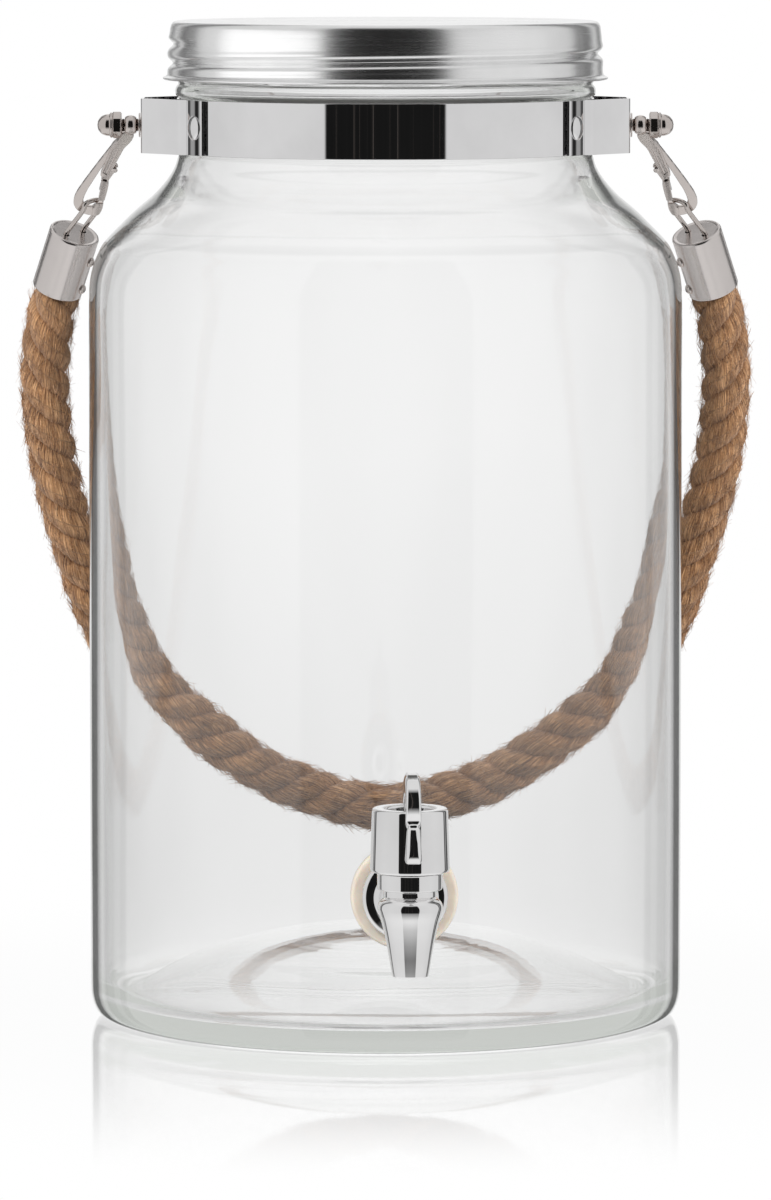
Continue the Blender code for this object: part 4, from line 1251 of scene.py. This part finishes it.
def build_world(scene):
    world = bpy.data.worlds.new("studio")
    scene.world = world
    world.use_nodes = True
    tree = world.node_tree
    tree.nodes.clear()
    direction = node(tree, "TexCoord").outputs["Generated"]
    right, ahead, rise = turned(tree, direction)
    around = azimuth(tree, right, ahead)
    signed = node(tree, "CombineXYZ", maths(tree, "ARCTAN2", right, ahead))
    lines = node(tree, "TexNoise", signed, Scale=23.0, Detail=4.0, Roughness=0.75)
    is_dark = map_range(tree, around, (0.815, 0.822), (0.0, 1.0))
    walls = mix(tree, is_dark, ramp(tree, around, IN_MIRRORS), ramp(tree, lines, STANDS))
    # the floor in front, seen by faces that lean downwards
    is_floor = map_range(tree, rise, (-0.36, -0.70), (0.0, 1.0))
    lower = mix(tree, is_floor, walls, rgba(0.84))
    # the dark opening behind the camera only reaches so high; above it are soft lights
    is_high = map_range(tree, rise, (0.72, 0.90), (0.0, 1.0))
    mirror = mix(tree, is_high, lower, rgba(0.74))
    # what each kind of ray sees
    ray = node(tree, "LightPath").outputs
    within = maths(tree, "MINIMUM", ray["Transmission Depth"], 1.0)
    colour = mix(tree, within, mirror, seen_through(tree, direction))
    colour = mix(tree, ray["Is Diffuse Ray"], colour, rgba(0.62))
    colour = mix(tree, ray["Is Camera Ray"], colour, rgba(1.0))
    node(tree, "OutputWorld", node(tree, "Background", colour))


def build_floor(scene):
    """Pale floor: white, with a reflection that fades away from the foot of the jar."""
    mesh = bpy.data.meshes.new("floor")
    r, z = 6.0, -0.0004     # metres
    mesh.from_pydata([(-r, -r, z), (r, -r, z), (r, r, z), (-r, r, z)], [], [(0, 1, 2, 3)])
    floor = bpy.data.objects.new("floor", mesh)
    scene.collection.objects.link(floor)
    material, tree = new_material("floor_gloss")
    position = object_coords(tree)
    distance = node(tree, "VectorMath", position, operation="LENGTH").outputs["Value"]
    fade = map_range(tree, distance, (0.085, 0.30), (0.50, 0.0),
                     interpolation_type="SMOOTHSTEP")
    incoming = node(tree, "NewGeometry").outputs["Incoming"]
    way = node(tree, "VectorMath", incoming, operation="SCALE", Scale=-1.0)
    through = node(tree, "LightPath").outputs["Is Transmission Ray"]
    white = node(tree, "Emission", Color=mix(tree, through, rgba(1.0),
                                             seen_through(tree, way.outputs[0])))
    noise = node(tree, "TexNoise", position, Scale=14.0, Detail=3.0)
    gloss = node(tree, "BsdfGlossy", Roughness=0.03, Color=rgba(1.0))
    feed(tree, spread(tree, noise, 0.02, 0.05), gloss.inputs["Roughness"])
    node(tree, "OutputMaterial", Surface=node(tree, "MixShader", fade, white, gloss))
    floor.data.materials.append(material)
    floor.visible_glossy = False


def build_lights(scene):
    """Lamps on a rig that turns with the camera. Returns the rig."""
    rig = bpy.data.objects.new("rig", None)
    scene.collection.objects.link(rig)

    def area(name, location, size, power, target=(0, 0, 0.16)):
        """location, size and target in metres, power in watts"""
        light = bpy.data.lights.new(name, "AREA")
        light.shape, light.energy = "RECTANGLE", power
        light.size, light.size_y = size
        lamp = bpy.data.objects.new(name, light)
        scene.collection.objects.link(lamp)
        lamp.location = location
        aim = Vector(target) - Vector(location)
        lamp.rotation_euler = aim.to_track_quat("-Z", "Y").to_euler()
        lamp.visible_camera = lamp.visible_glossy = lamp.visible_transmission = False
        lamp.parent = rig
        return lamp

    area("key", location=(-1.0, -1.3, 1.3), size=(0.9, 0.9), power=22)
    area("fill", location=(1.1, -1.1, 0.8), size=(0.9, 0.9), power=13)
    area("back", location=(0.0, 1.6, 1.0), size=(1.4, 0.8), power=8)
    # soft panels that only the satin lid picks up, the left one stronger
    only_lid = bpy.data.collections.new("lid_lights_reach")
    only_lid.objects.link(bpy.data.objects["lid_spun"])
    for name, x, power in (("panel_left", -1.7, 4.0), ("panel_right", 1.7, 0.5)):
        panel = area(name, location=(x, -0.80, 0.30), size=(2.3, 1.2), power=power,
                     target=(0, 0, 0.29))
        panel.visible_glossy = True
        panel.light_linking.receiver_collection = only_lid
    return rig


def build_camera(scene, rig):
    """Square on to the front, looking slightly down."""
    distance, height, down = 2286.0, 345.6, math.radians(5.477)
    lens = bpy.data.cameras.new("camera")
    camera = bpy.data.objects.new("camera", lens)
    scene.collection.objects.link(camera)
    camera.location = (0, -distance * MM, height * MM)
    camera.rotation_euler = (math.pi / 2 - down, 0, 0)
    lens.sensor_width = 36.0
    lens.lens = 226.395
    lens.clip_start, lens.clip_end = 0.05, 40.0
    scene.camera = camera
    follow = rig.constraints.new("LOCKED_TRACK")
    follow.target, follow.track_axis, follow.lock_axis = camera, "TRACK_NEGATIVE_Y", "LOCK_Z"


scene = bpy.context.scene
set_render(scene)
build_world(scene)
build_floor(scene)
build_camera(scene, build_lights(scene))
